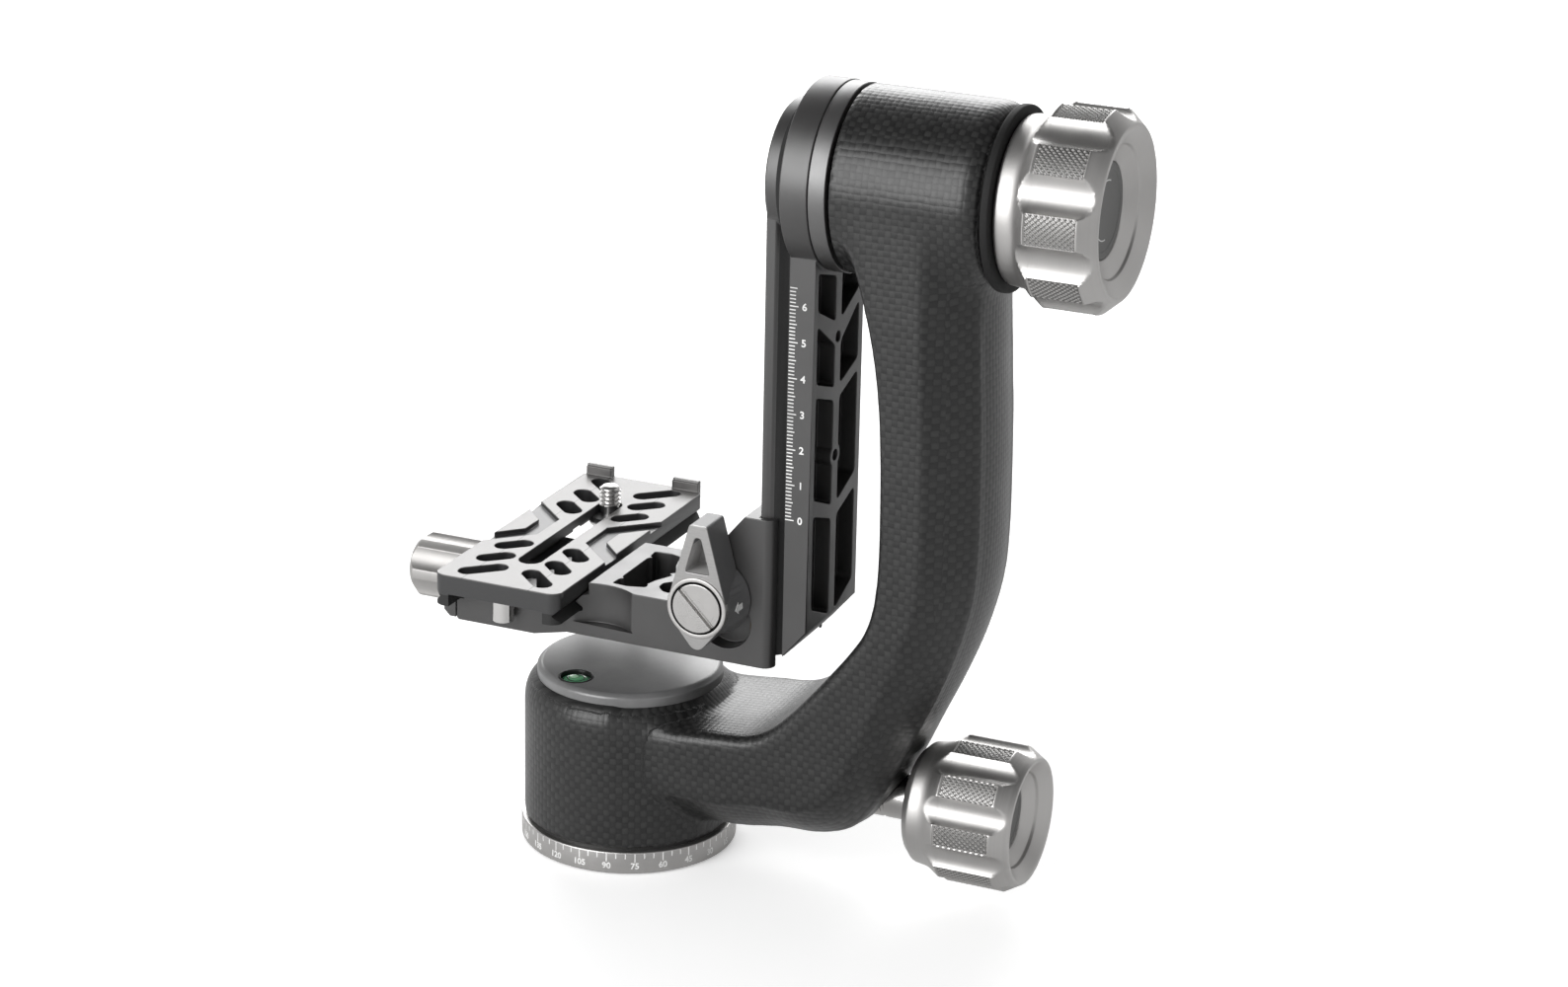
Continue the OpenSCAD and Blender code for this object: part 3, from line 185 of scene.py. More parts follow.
class Wire:
    """A value socket: an expression on it adds its Math nodes."""

    def __init__(self, paint, socket):
        self.paint = paint
        self.socket = socket

    def sibling(self, name):
        """Another output of the same node."""
        return Wire(self.paint, self.socket.node.outputs[name])

    def math(self, operation, *values):
        return self.paint.node("ShaderNodeMath", {"operation": operation},
                               dict(enumerate((self,) + values)))

    def __add__(self, other):
        return self.math("ADD", other)

    def __sub__(self, other):
        return self.math("SUBTRACT", other)

    def __mul__(self, other):
        return self.math("MULTIPLY", other)

    def __truediv__(self, other):
        return self.math("DIVIDE", other)

    def __pow__(self, other):
        return self.math("POWER", other)

    def __mod__(self, other):
        return self.math("FLOORED_MODULO", other)

    def __rsub__(self, other):
        return self.paint.node("ShaderNodeMath", {"operation": "SUBTRACT"}, {0: other, 1: self})

    def __rtruediv__(self, other):
        return self.paint.node("ShaderNodeMath", {"operation": "DIVIDE"}, {0: other, 1: self})

    __radd__ = __add__
    __rmul__ = __mul__

    def floor(self):
        return self.math("FLOOR")

    def fraction(self):
        return self.math("FRACT")

    def size(self):
        return self.math("ABSOLUTE")

    def over(self, other):
        return self.math("GREATER_THAN", other)

    def under(self, other):
        return self.math("LESS_THAN", other)

    def highest(self, other):
        return self.math("MAXIMUM", other)

    def wave(self):
        return self.math("SINE")


class Paint:
    """A material, or the tree of a world, and the nodes that feed its one shader."""

    def __init__(self, name, tree=None):
        self.material = None
        if tree is None:
            self.material = bpy.data.materials.new(name)
            self.material.use_nodes = True
            tree = self.material.node_tree
        self.tree = tree
        self.tree.nodes.clear()

    def node(self, kind, settings=None, values=None, out=0):
        """Adds a node: its settings first, then its socket values and links."""
        made = self.tree.nodes.new(kind)
        for key, value in (settings or {}).items():
            setattr(made, key, value)
        for key, value in (values or {}).items():
            socket = made.inputs[key]
            if isinstance(value, Wire):
                self.tree.links.new(value.socket, socket)
            elif socket.type == "RGBA":
                socket.default_value = (*value, 1.0)
            else:
                socket.default_value = value
        return Wire(self, made.outputs[out])

    def place(self, centre=(0, 0, 0)):
        """Object coordinates in millimetres from a centre: vector, x, y and z."""
        where = self.node("ShaderNodeTexCoord", out=3)
        moved = self.node("ShaderNodeMapping", {"vector_type": "TEXTURE"},
                          {"Vector": where, "Location": [c * MM for c in centre],
                           "Scale": (MM, MM, MM)})
        return (moved, *self.parts(moved))

    def parts(self, vector):
        """The three numbers of a vector."""
        first = self.node("ShaderNodeSeparateXYZ", None, {0: vector})
        return tuple(first.sibling(i) for i in range(3))

    def vector(self, x=0.0, y=0.0, z=0.0):
        return self.node("ShaderNodeCombineXYZ", None, {0: x, 1: y, 2: z})

    def noise(self, where, scale, detail=2.0, rough=0.5):
        """Cloudy noise between 0 and 1; scale counts per unit of where."""
        return self.node("ShaderNodeTexNoise", {"noise_dimensions": "3D"},
                         {"Vector": where, "Scale": scale, "Detail": detail, "Roughness": rough})

    def blend(self, factor, first, second):
        """Colour mix."""
        return self.node("ShaderNodeMix", {"data_type": "RGBA"}, {0: factor, 6: first, 7: second}, 2)

    def ramp(self, value, low, high, to_low=0.0, to_high=1.0):
        """Linear map of a value between two limits, held at its ends."""
        return self.node("ShaderNodeMapRange", None,
                         {"Value": value, "From Min": low, "From Max": high,
                          "To Min": to_low, "To Max": to_high})

    def bump(self, height, depth, under=None):
        """Bump of a height between 0 and 1, depth in millimetres."""
        values = {"Height": height, "Distance": depth * MM, "Strength": 1.0}
        if under is not None:
            values["Normal"] = under
        return self.node("ShaderNodeBump", None, values)

    def mottle(self, value, first, second):
        """Colour mix by a noise, stretched so that it reaches both colours."""
        return self.blend(self.ramp(value, 0.3, 0.7), first, second)

    def surface(self, colour, rough, metal=0.0, normal=None, coat=0.0, coat_rough=0.1, ior=1.5):
        """Closes the material with one principled surface."""
        values = {"Base Color": colour, "Roughness": rough, "Metallic": metal, "IOR": ior,
                  "Coat Weight": coat, "Coat Roughness": coat_rough}
        if normal is not None:
            values["Normal"] = normal
        return self.close(self.node("ShaderNodeBsdfPrincipled", None, values))

    def close(self, shader, output="ShaderNodeOutputMaterial"):
        """Leads a shader to the output and gives the material."""
        made = self.tree.nodes.new(output)
        self.tree.links.new(shader.socket, made.inputs["Surface"])
        return self.material


def shaded(colour, share):
    """A colour at a share of its strength, none of it over 1."""
    return tuple(min(1.0, c * share) for c in colour)


def carbon_cloth(settings):
    """Plain weave read from the piece's cloth map, in millimetres. In a cell where the whole
    numbers of u and v add up to an odd sum the warp lies on top and is painted lighter, else the
    weft: the checker is the weave's own pattern, and its lighter tow is painted sheen of one dark
    fibre. Each tow swells like a sine across its width and along its length, in height and in tone, so
    that the middle of each tow is painted lighter as painted sheen. The tows wander a little, and each
    cell has its own tone by chance."""
    paint = Paint("carbon_cloth")
    cell = settings.cell / MM
    wander = 0.8
    cloth = paint.node("ShaderNodeUVMap", {"uv_map": "cloth"})
    drift = paint.node("ShaderNodeTexNoise", {"noise_dimensions": "3D"},
                       {"Vector": cloth, "Scale": 0.22, "Detail": 1.0}, "Color")
    moved = paint.node("ShaderNodeVectorMath", {"operation": "MULTIPLY_ADD"},
                       {0: drift, 1: (wander, wander, 0.0), 2: cloth})
    u, v, _ = paint.parts(moved)
    a = u / cell
    b = v / cell
    odd = (a.floor() + b.floor()) % 2.0
    across = (a.fraction() * math.pi).wave()
    along = (b.fraction() * math.pi).wave()
    warp_swell = across * 0.62 + along * 0.38
    weft_swell = along * 0.62 + across * 0.38
    height = odd * warp_swell + (1 - odd) * weft_swell * 0.84
    thin, long = 9.0, 0.7
    fibres = paint.noise(paint.vector(a * (1 - odd) * thin + a * odd * long,
                                      b * odd * thin + b * (1 - odd) * long, 0.0), 1.6, 2.0)
    cloud = paint.noise(cloth, 0.035, 3.0, 0.6)
    chance = paint.node("ShaderNodeTexWhiteNoise", {"noise_dimensions": "2D"},
                        {"Vector": paint.vector(a.floor(), b.floor(), 0.0)})
    # Painted sheen: the tow on top and the middle of each tow are lighter
    cells = (odd * 0.42 + 0.34 + chance * 0.24) * (across * along) ** 0.14
    tone = paint.ramp(cells * 0.72 + fibres * 0.16 + cloud * 0.12, 0.22, 0.92)
    colour = paint.blend(tone, tuple(settings.dark), tuple(settings.light))
    rough = paint.ramp(cloud + fibres * 0.2, 0.3, 0.9, settings.sheen - 0.04, settings.sheen + 0.07)
    normal = paint.bump(height, 0.075, paint.bump(fibres, 0.006))
    return paint.surface(colour, rough, 0.0, normal, 0.08, 0.22)


# Noise of blasted faces and of broad stains: scale per millimetre, detail, roughness
SAND = (4.5, 3.0, 0.6)
CLOUD = (0.09, 3.0, 0.55)

# Tones that follow no setting
# Painted shade: black for gaps and hollows that lie in shadow
SHADE_BLACK = (0.004, 0.004, 0.004)
DULL_STEEL = (0.50, 0.49, 0.48)
PALE_STEEL = (0.60, 0.59, 0.58)


def blasted(name, colour, rough=0.40, metal=0.0, depth=0.012, shade=0.16, ior=1.5, shaded_span=None):
    """Blasted and anodised aluminium: a fine sand of noise in height, tone and roughness. The faces
    in a given span of x are painted black and rougher: painted shade in a recess."""
    paint = Paint(name)
    where, x, _, _ = paint.place()
    sand = paint.noise(where, *SAND)
    cloud = paint.noise(where, *CLOUD)
    tone = paint.mottle(sand * 0.5 + cloud * 0.5, shaded(colour, 1 - shade), shaded(colour, 1 + shade))
    roughness = paint.ramp(cloud * 0.7 + sand * 0.3, 0.3, 0.7, rough - 0.05, rough + 0.06)
    if shaded_span:
        # Painted shade: black over the span of x where a recess lies in shadow
        span_shade = x.over(shaded_span[0]) * x.under(shaded_span[1])
        tone = paint.blend(span_shade, tone, (0.002, 0.002, 0.002))
        roughness = roughness + span_shade * 0.5
    return paint.surface(tone, roughness, metal, paint.bump(sand, depth), ior=ior)


def turned_metal(name, colour, axis, centre, rough=0.30, depth=0.006, metal=1.0, valley=False,
                 ior=1.5):
    """Metal turned round an axis: fine rings follow the distance from the axis plus the
    place along it, so they show on rims and on faces alike. The valleys of a knurl, where a
    piece has that attribute, are painted darker as painted shade."""
    paint = Paint(name)
    where, x, y, z = paint.place(centre)
    along, one, two = {"x": (x, y, z), "y": (y, x, z), "z": (z, x, y)}[axis]
    radius = (one * one + two * two) ** 0.5
    groove = 0.35
    rings = paint.noise(paint.vector((along + radius) / groove, 0.0, 0.0), 1.0, 3.0, 0.65)
    cloud = paint.noise(where, 0.12, 3.0, 0.55)
    tone = paint.mottle(rings * 0.6 + cloud * 0.4, shaded(colour, 0.86), tuple(colour))
    if valley:
        # Painted shade: the knurl's valleys darken with their depth
        painted_shade = paint.node("ShaderNodeAttribute", {"attribute_name": "valley"}, None, 2)
        tone = paint.blend(paint.ramp(painted_shade, 0.45, 0.95, 0.0, 0.8), tone, (0.07, 0.07, 0.07))
    roughness = paint.ramp(rings * 0.5 + cloud * 0.5, 0.3, 0.7, rough - 0.05, rough + 0.07)
    return paint.surface(tone, roughness, metal, paint.bump(rings, depth), ior=ior)


def plain_plastic(name, colour, rough, depth=0.02, ior=1.5):
    """Moulded plastic or rubber with a faint orange skin."""
    paint = Paint(name)
    where = paint.place()[0]
    skin = paint.noise(where, 1.4)
    cloud = paint.noise(where, 0.1, 3.0, 0.55)
    tone = paint.mottle(cloud, shaded(colour, 0.8), shaded(colour, 1.2))
    roughness = paint.ramp(cloud * 0.6 + skin * 0.4, 0.3, 0.7, rough - 0.04, rough + 0.05)
    return paint.surface(tone, roughness, 0.0, paint.bump(skin, depth), ior=ior)


def ringed_disc(name, centre, radius):
    """Grey knob disc with a thin pale arc over half a turn: a painted highlight on the lit half of a
    small step in the disc.
    """
    paint = Paint(name)
    where, _, y, z = paint.place(centre)
    out = (y * y + z * z) ** 0.5
    line = (out - radius).size().under(0.16)
    angle = paint.node("ShaderNodeMath", {"operation": "ARCTAN2"}, {0: z, 1: y})
    # Painted highlight: the pale arc covers only the lit part of the turn
    lit_half = (angle + 0.17).size().over(1.33)
    sand = paint.noise(where, 5.0, 3.0, 0.6)
    ground = paint.mottle(sand, (0.12, 0.12, 0.12), (0.165, 0.165, 0.16))
    tone = paint.blend(line * lit_half, ground, (0.75, 0.75, 0.74))
    return paint.surface(tone, 0.50, 0.10, paint.bump(sand, 0.01))


def bubble_glass(name, centre, radius):
    """Green level under its glass: a dark ring, and the bubble aside with its own dark rim.
    Distances are shares of the radius."""
    paint = Paint(name)
    _, x, y, _ = paint.place(centre)
    aside_x, aside_y = 0.9, -0.5
    out = (x * x + y * y) ** 0.5 / radius
    bubble = ((x + aside_x) ** 2.0 + (y + aside_y) ** 2.0) ** 0.5 / radius
    tone = paint.blend(paint.ramp(out, 0.0, 1.0), (0.16, 0.52, 0.24), (0.02, 0.16, 0.07))
    tone = paint.blend((out - 0.56).size().under(0.05), tone, (0.01, 0.03, 0.015))
    tone = paint.blend(paint.ramp(bubble, 0.34, 0.26), tone, (0.45, 0.80, 0.50))
    tone = paint.blend((bubble - 0.33).size().under(0.035), tone, (0.03, 0.14, 0.06))
    return paint.surface(tone, 0.08, 0.0, None, 1.0, 0.03)


def lever_metal(front, side):
    """The lever's front face is bright brushed metal, its sides are dark, its pocket is painted a
    paler grey, and a black ring of painted shade stands round the screw cap, where the gap lies in
    shadow."""
    paint = Paint("lever_metal")
    where, x, y, z = paint.place()
    cap_gap_r, pocket_z, pocket_tip_z = 7.3, 93.5, 105.0
    face = paint.ramp(y, LEVER_FRONT + 0.55, LEVER_FRONT + 0.25)
    lines = paint.noise(paint.vector(x * 0.3, 0.0, z * 3.2), 1.0, 3.0, 0.6)
    sand = paint.noise(where, *SAND)
    bright = paint.mottle(lines, shaded(front, 0.84), tuple(front))
    dull = paint.mottle(sand, shaded(side, 0.84), tuple(side))
    tone = paint.blend(face, dull, bright)
    out = ((x - LEVER_X) ** 2.0 + (z - LEVER_Z) ** 2.0) ** 0.5
    # Painted shade: a black ring where the gap round the screw cap lies in shadow
    tone = paint.blend((out - cap_gap_r).size().under(0.32), tone, SHADE_BLACK)
    wedge = (x - LEVER_X).size().under((pocket_tip_z - z) * 0.37 + 0.6)
    tone = paint.blend(wedge * z.over(pocket_z) * (1 - face), tone, (0.45, 0.445, 0.44))
    return paint.surface(tone, face * -0.06 + 0.42, face * 0.8, paint.bump(lines * face + sand, 0.008))


def plate_anodise(grey):
    """The plate's top is painted grey, lighter than its black walls of the same anodise: painted
    light on the top. One dark line runs along each side of the top, and what lies far under the top is
    painted black as painted shade."""
    paint = Paint("plate_anodise")
    where, x, y, z = paint.place()
    line_x, shadow_z = 10.3, PLATE_Z - 6.0
    # Painted light: the top takes a lighter grey than the walls
    top = paint.ramp(z, PLATE_Z - 0.35, PLATE_Z - 0.1)
    lines = paint.noise(paint.vector(x * 0.35, y * 4.0, 0.0), 1.0, 3.0, 0.6)
    sand = paint.noise(where, *SAND)
    face = paint.mottle(lines * 0.4 + sand * 0.6, shaded(grey, 0.86), tuple(grey))
    engraved = ((x - PLATE_X).size() - line_x).size().under(0.16)
    face = paint.blend(engraved, face, (0.03, 0.03, 0.03))
    walls = paint.mottle(sand, (0.020, 0.020, 0.021), (0.032, 0.032, 0.033))
    # Painted shade: black far under the top
    painted_shade = z.under(shadow_z)
    tone = paint.blend(painted_shade, paint.blend(top, walls, face), SHADE_BLACK)
    rough = top * -0.02 + painted_shade * 0.3 + 0.38
    return paint.surface(tone, rough, top * 0.25, paint.bump(sand, 0.012), ior=1.62)


# Surfaces


def add_piece(name, mesh):
    """An object at the origin for a mesh."""
    piece = bpy.data.objects.new(name, mesh)
    bpy.context.scene.collection.objects.link(piece)
    return piece


def new_piece(name, points, faces):
    """A piece from an array of points in millimetres and the corner numbers of its faces."""
    mesh = bpy.data.meshes.new(name)
    faces = faces if isinstance(faces, list) else faces.tolist()
    mesh.from_pydata((points.reshape(-1, 3) * MM).tolist(), [], faces)
    return add_piece(name, mesh)


def grid_faces(rows, columns, loop_rows=False):
    """Corner numbers of a grid of four-sided faces. The columns close on themselves, and
    the rows where they loop."""
    i = np.arange(rows if loop_rows else rows - 1)[:, None]
    j = np.arange(columns)[None, :]
    i1 = (i + 1) % rows
    j1 = (j + 1) % columns
    corner = [i * columns + j, i * columns + j1, i1 * columns + j1, i1 * columns + j]
    return np.stack(np.broadcast_arrays(*corner), -1).reshape(-1, 4)


def weld(piece):
    """Merges doubles, so poles and seams close, and turns all faces outwards."""
    bm = bmesh.new()
    bm.from_mesh(piece.data)
    bmesh.ops.remove_doubles(bm, verts=bm.verts, dist=0.001 * MM)
    bmesh.ops.recalc_face_normals(bm, faces=bm.faces)
    bm.to_mesh(piece.data)
    bm.free()
    return piece


def smooth(piece, degrees=32.0):
    """Smooth shading with the sharp edges kept."""
    mesh = piece.data
    mesh.shade_smooth()
    mesh.set_sharp_from_angle(angle=math.radians(degrees))
    return piece


def eased(outline, size, closed=True, steps=4):
    """An outline with each corner eased: a corner gives way to a parabola between the two
    points at the easing length along its sides, which is at most 0.45 of the shorter side.
    Size is one length or a length for each corner."""
    p = np.asarray(outline, float)
    size = np.broadcast_to(np.asarray(size, float), len(p))
    before = np.roll(p, 1, 0) - p
    after = np.roll(p, -1, 0) - p
    lb = np.hypot(*before.T) + 1e-9
    la = np.hypot(*after.T) + 1e-9
    d = np.minimum(size, 0.45 * np.minimum(lb, la))
    if not closed:
        d = d.copy()
        d[[0, -1]] = 0.0
    a = p + before / lb[:, None] * d[:, None]
    b = p + after / la[:, None] * d[:, None]
    t = np.linspace(0, 1, steps + 1)[None, :, None]
    curve = (1 - t) ** 2 * a[:, None] + 2 * t * (1 - t) * p[:, None] + t ** 2 * b[:, None]
    flat = curve.reshape(-1, 2)
    keep = np.ones(len(flat), bool)
    keep[1:] = np.hypot(*(flat[1:] - flat[:-1]).T) > 1e-5
    return flat[keep]


def on_axis(axis, centre, radius, height, angle):
    """Points at a radius and an angle round an axis and a height along it. The angle runs
    from the axis's first cross direction to its second: X then Y round Z, Y then Z round X,
    X then Z round Y."""
    one = radius * np.cos(angle)
    two = radius * np.sin(angle)
    order = {"z": (one, two, height), "x": (height, one, two), "y": (one, height, two)}[axis]
    return np.stack(np.broadcast_arrays(*order), -1) + np.asarray(centre, float)


def turned(name, axis, centre, outline, columns=128, closed=False):
    """A turned piece: each outline point, a radius and a height, goes once round the axis.
    An open outline starts and ends on the axis."""
    outline = np.asarray(outline, float)
    angle = np.arange(columns) * TURN / columns
    points = on_axis(axis, centre, outline[:, :1], outline[:, 1:], angle[None, :])
    piece = new_piece(name, points, grid_faces(len(outline), columns, closed))
    return smooth(weld(piece))


def softened(name, node, width=0.25, above=None):
    """A copy of a solid with its doubles merged, flat faces joined and every sharp edge, or
    those above a height in millimetres, broken by a narrow round bevel that catches the
    light. Normals are weighted by area, so wide faces stay flat."""
    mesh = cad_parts[node].data.copy()
    mesh.name = name
    mesh.materials.clear()
    piece = add_piece(name, mesh)
    bm = bmesh.new()
    bm.from_mesh(mesh)
    bmesh.ops.remove_doubles(bm, verts=bm.verts, dist=0.002 * MM)
    bmesh.ops.dissolve_degenerate(bm, dist=0.001 * MM, edges=bm.edges)
    bmesh.ops.dissolve_limit(bm, angle_limit=math.radians(0.6), verts=bm.verts, edges=bm.edges)
    sharp = math.radians(50.0)
    edges = [e for e in bm.edges if abs(e.calc_face_angle_signed(0.0)) > sharp
             and (above is None or min(v.co.z for v in e.verts) > above * MM)]
    bmesh.ops.bevel(bm, geom=edges, offset=width * MM, offset_type="OFFSET", segments=2,
                    profile=0.5, affect="EDGES", clamp_overlap=False)
    bm.to_mesh(mesh)
    bm.free()
    for layer in list(mesh.attributes):
        if layer.name in ("sharp_edge", "sharp_face", "custom_normal"):
            mesh.attributes.remove(layer)
    smooth(piece, 48.0)
    weighted = piece.modifiers.new("weighted", "WEIGHTED_NORMAL")
    weighted.keep_sharp = True
    weighted.weight = 80
    apply_modifiers(piece)
    return piece


def apply_modifiers(piece):
    """Puts the result of the piece's modifiers into its mesh."""
    depsgraph = bpy.context.evaluated_depsgraph_get()
    mesh = bpy.data.meshes.new_from_object(piece.evaluated_get(depsgraph))
    piece.modifiers.clear()
    old = piece.data
    piece.data = mesh
    bpy.data.meshes.remove(old)
    mesh.name = piece.name


def dress(piece, body, slot, material, *replaced):
    """Gives a piece its material and its body, and hides the nodes that it stands for. The slot is not
    used.
    """
    piece.data.materials.clear()
    piece.data.materials.append(material)
    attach(piece, body)
    if replaced:
        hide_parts(*replaced)


def finish_node(material, *nodes):
    """Gives carried-over solids a finish."""
    for node in nodes:
        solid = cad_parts[node]
        solid.data.materials.clear()
        solid.data.materials.append(material)


def points_of(mesh):
    """The points of a mesh as an array, in millimetres."""
    values = np.zeros(len(mesh.vertices) * 3)
    mesh.vertices.foreach_get("co", values)
    return values.reshape(-1, 3) / MM


def set_points(mesh, points):
    """Moves the points of a mesh to an array, in millimetres."""
    mesh.vertices.foreach_set("co", (points * MM).ravel())
    mesh.update()


def cut(piece, cutter):
    """Takes the cutter's volume out of the piece."""
    modifier = piece.modifiers.new("cut", "BOOLEAN")
    modifier.operation = "DIFFERENCE"
    modifier.solver = "MANIFOLD"
    modifier.object = cutter
    apply_modifiers(piece)
    bpy.data.objects.remove(cutter)
    if not piece.data.polygons:
        raise RuntimeError(f"{piece.name} came out empty")


# Carbon arm


def arm_path(steps):
    """Inner and outer points of the arm's sections in millimetres, as rows of four: a
    Catmull-Rom curve through the stations."""
    table = ARM_STATION_SHARES
    last = len(table) - 1
    place = np.linspace(0, last, last * steps + 1)
    i = np.minimum(place.astype(int), last - 1)
    t = (place - i)[:, None]
    a, b, c, d = (table[np.clip(i + k, 0, last)] for k in (-1, 0, 1, 2))
    rows = (b + t * (c - a) / 2 + t ** 2 * (a - 2.5 * b + 2 * c - d / 2)
            + t ** 3 * (1.5 * b - 1.5 * c + (d - a) / 2))
    rise = TILT_Z - LEG_Z
    return rows * [REACH, rise, REACH, rise] + [0, LEG_Z, 0, LEG_Z]


def arc_points(u, y, radius, start, end, count):
    """Points of an arc, as rows of u and y."""
    a = np.radians(np.linspace(start, end, count))
    return np.stack([u + radius * np.cos(a), y + radius * np.sin(a)], -1)


def strap_surface():
    """The arm's strap. At each station a section stands across the path: inner corners of
    radius 3, outer corners cut to a crowned facet between two edges, and an outer face that
    is crowned by 1.8, so that u = t - 1.8 f^2 for a place f across it."""
    rows = arm_path(6)
    thick = np.hypot(rows[:, 2] - rows[:, 0], rows[:, 3] - rows[:, 1])
    corner_r, crown, outer_half, corner_points = 3.0, 1.8, 13.0, 7
    # Outer corner by depth under the outer face and by distance from the arm's side: start,
    # front edge, the facet's crown, outer edge, end
    corner = np.array([[-16.0, 0.0], [-12.8, 0.0], [-6.3, 5.6], [-1.2, 12.5], [-1.1, 14.5]])
    facet = eased(corner - [0, ARM_HALF], [0, 0.7, 3.5, 0.7, 0], False, 6)
    across = np.linspace(-0.75, 0.75, 9)
    base = np.concatenate([
        arc_points(corner_r, corner_r - ARM_HALF, corner_r, 180, 270, corner_points), facet,
        np.stack([-crown * across ** 2, across * outer_half], -1), facet[::-1] * [1, -1],
        arc_points(corner_r, ARM_HALF - corner_r, corner_r, 90, 180, corner_points)])
    outer = np.zeros(len(base), bool)
    outer[corner_points:-corner_points] = True
    u = base[None, :, 0] + np.where(outer[None, :], thick[:, None], 0.0)
    dx = ((rows[:, 2] - rows[:, 0]) / thick)[:, None]
    dz = ((rows[:, 3] - rows[:, 1]) / thick)[:, None]
    x = rows[:, :1] + dx * u
    z = rows[:, 1:2] + dz * u
    points = np.stack([x, np.broadcast_to(base[:, 1], x.shape), z], -1)
    faces = grid_faces(*x.shape).tolist()
    count = x.shape[1]
    faces.append(list(range(count)))
    faces.append([len(rows) * count - 1 - j for j in range(count)])
    return new_piece("carbon_arm", points, faces)


def cloth_map(piece):
    """Map of the carbon cloth in millimetres. Faces that look along Y read X and Z; the
    round wall of the housing reads its arc and Z, the tube its arc and X, and the other
    faces of the strap its running length and Y. That length, at a point, is the mean over
    the strap's sections, where a section at a distance d weighs exp(-d^2 / spread)."""
    mesh = piece.data
    points = points_of(mesh)
    owners = np.zeros(len(mesh.loops), int)
    mesh.loops.foreach_get("vertex_index", owners)
    totals = np.zeros(len(mesh.polygons), int)
    normals = np.zeros(len(mesh.polygons) * 3)
    mesh.polygons.foreach_get("loop_total", totals)
    mesh.polygons.foreach_get("normal", normals)
    normal = np.repeat(normals.reshape(-1, 3), totals, 0)
    x, y, z = points[owners].T
    rows = arm_path(6)
    mid = (rows[:, :2] + rows[:, 2:]) / 2
    run = np.concatenate([[0], np.cumsum(np.hypot(*np.diff(mid, axis=0).T))])
    spread = 60.0
    gap = ((points[:, None, [0, 2]] - mid[None, ::3]) ** 2).sum(-1)
    weight = np.exp(-gap / spread)
    lay = ((weight * run[None, ::3]).sum(1) / (weight.sum(1) + 1e-12))[owners]
    out, up = np.hypot(x, y), z - TILT_Z
    strap_x, tube_low, side_share = 27.0, -20.0, 0.72
    side = np.abs(normal[:, 1]) > side_share
    on_tube = (up > tube_low) & (np.hypot(y, up) > TUBE_R - 2.5) & ~side
    on_housing = (np.abs(out - HOUSING_R + 0.5) < 1.1) & (z < HOUSING_TOP) & (x < strap_x)
    kinds = [on_housing, on_tube, side]
    u = np.select(kinds, [HOUSING_R * np.arctan2(y, x), TUBE_R * np.arctan2(up, y), x], lay)
    v = np.select(kinds, [z, x, z], y)
    layer = mesh.uv_layers.new(name="cloth")
    layer.data.foreach_set("uv", np.stack([u, v], -1).ravel())


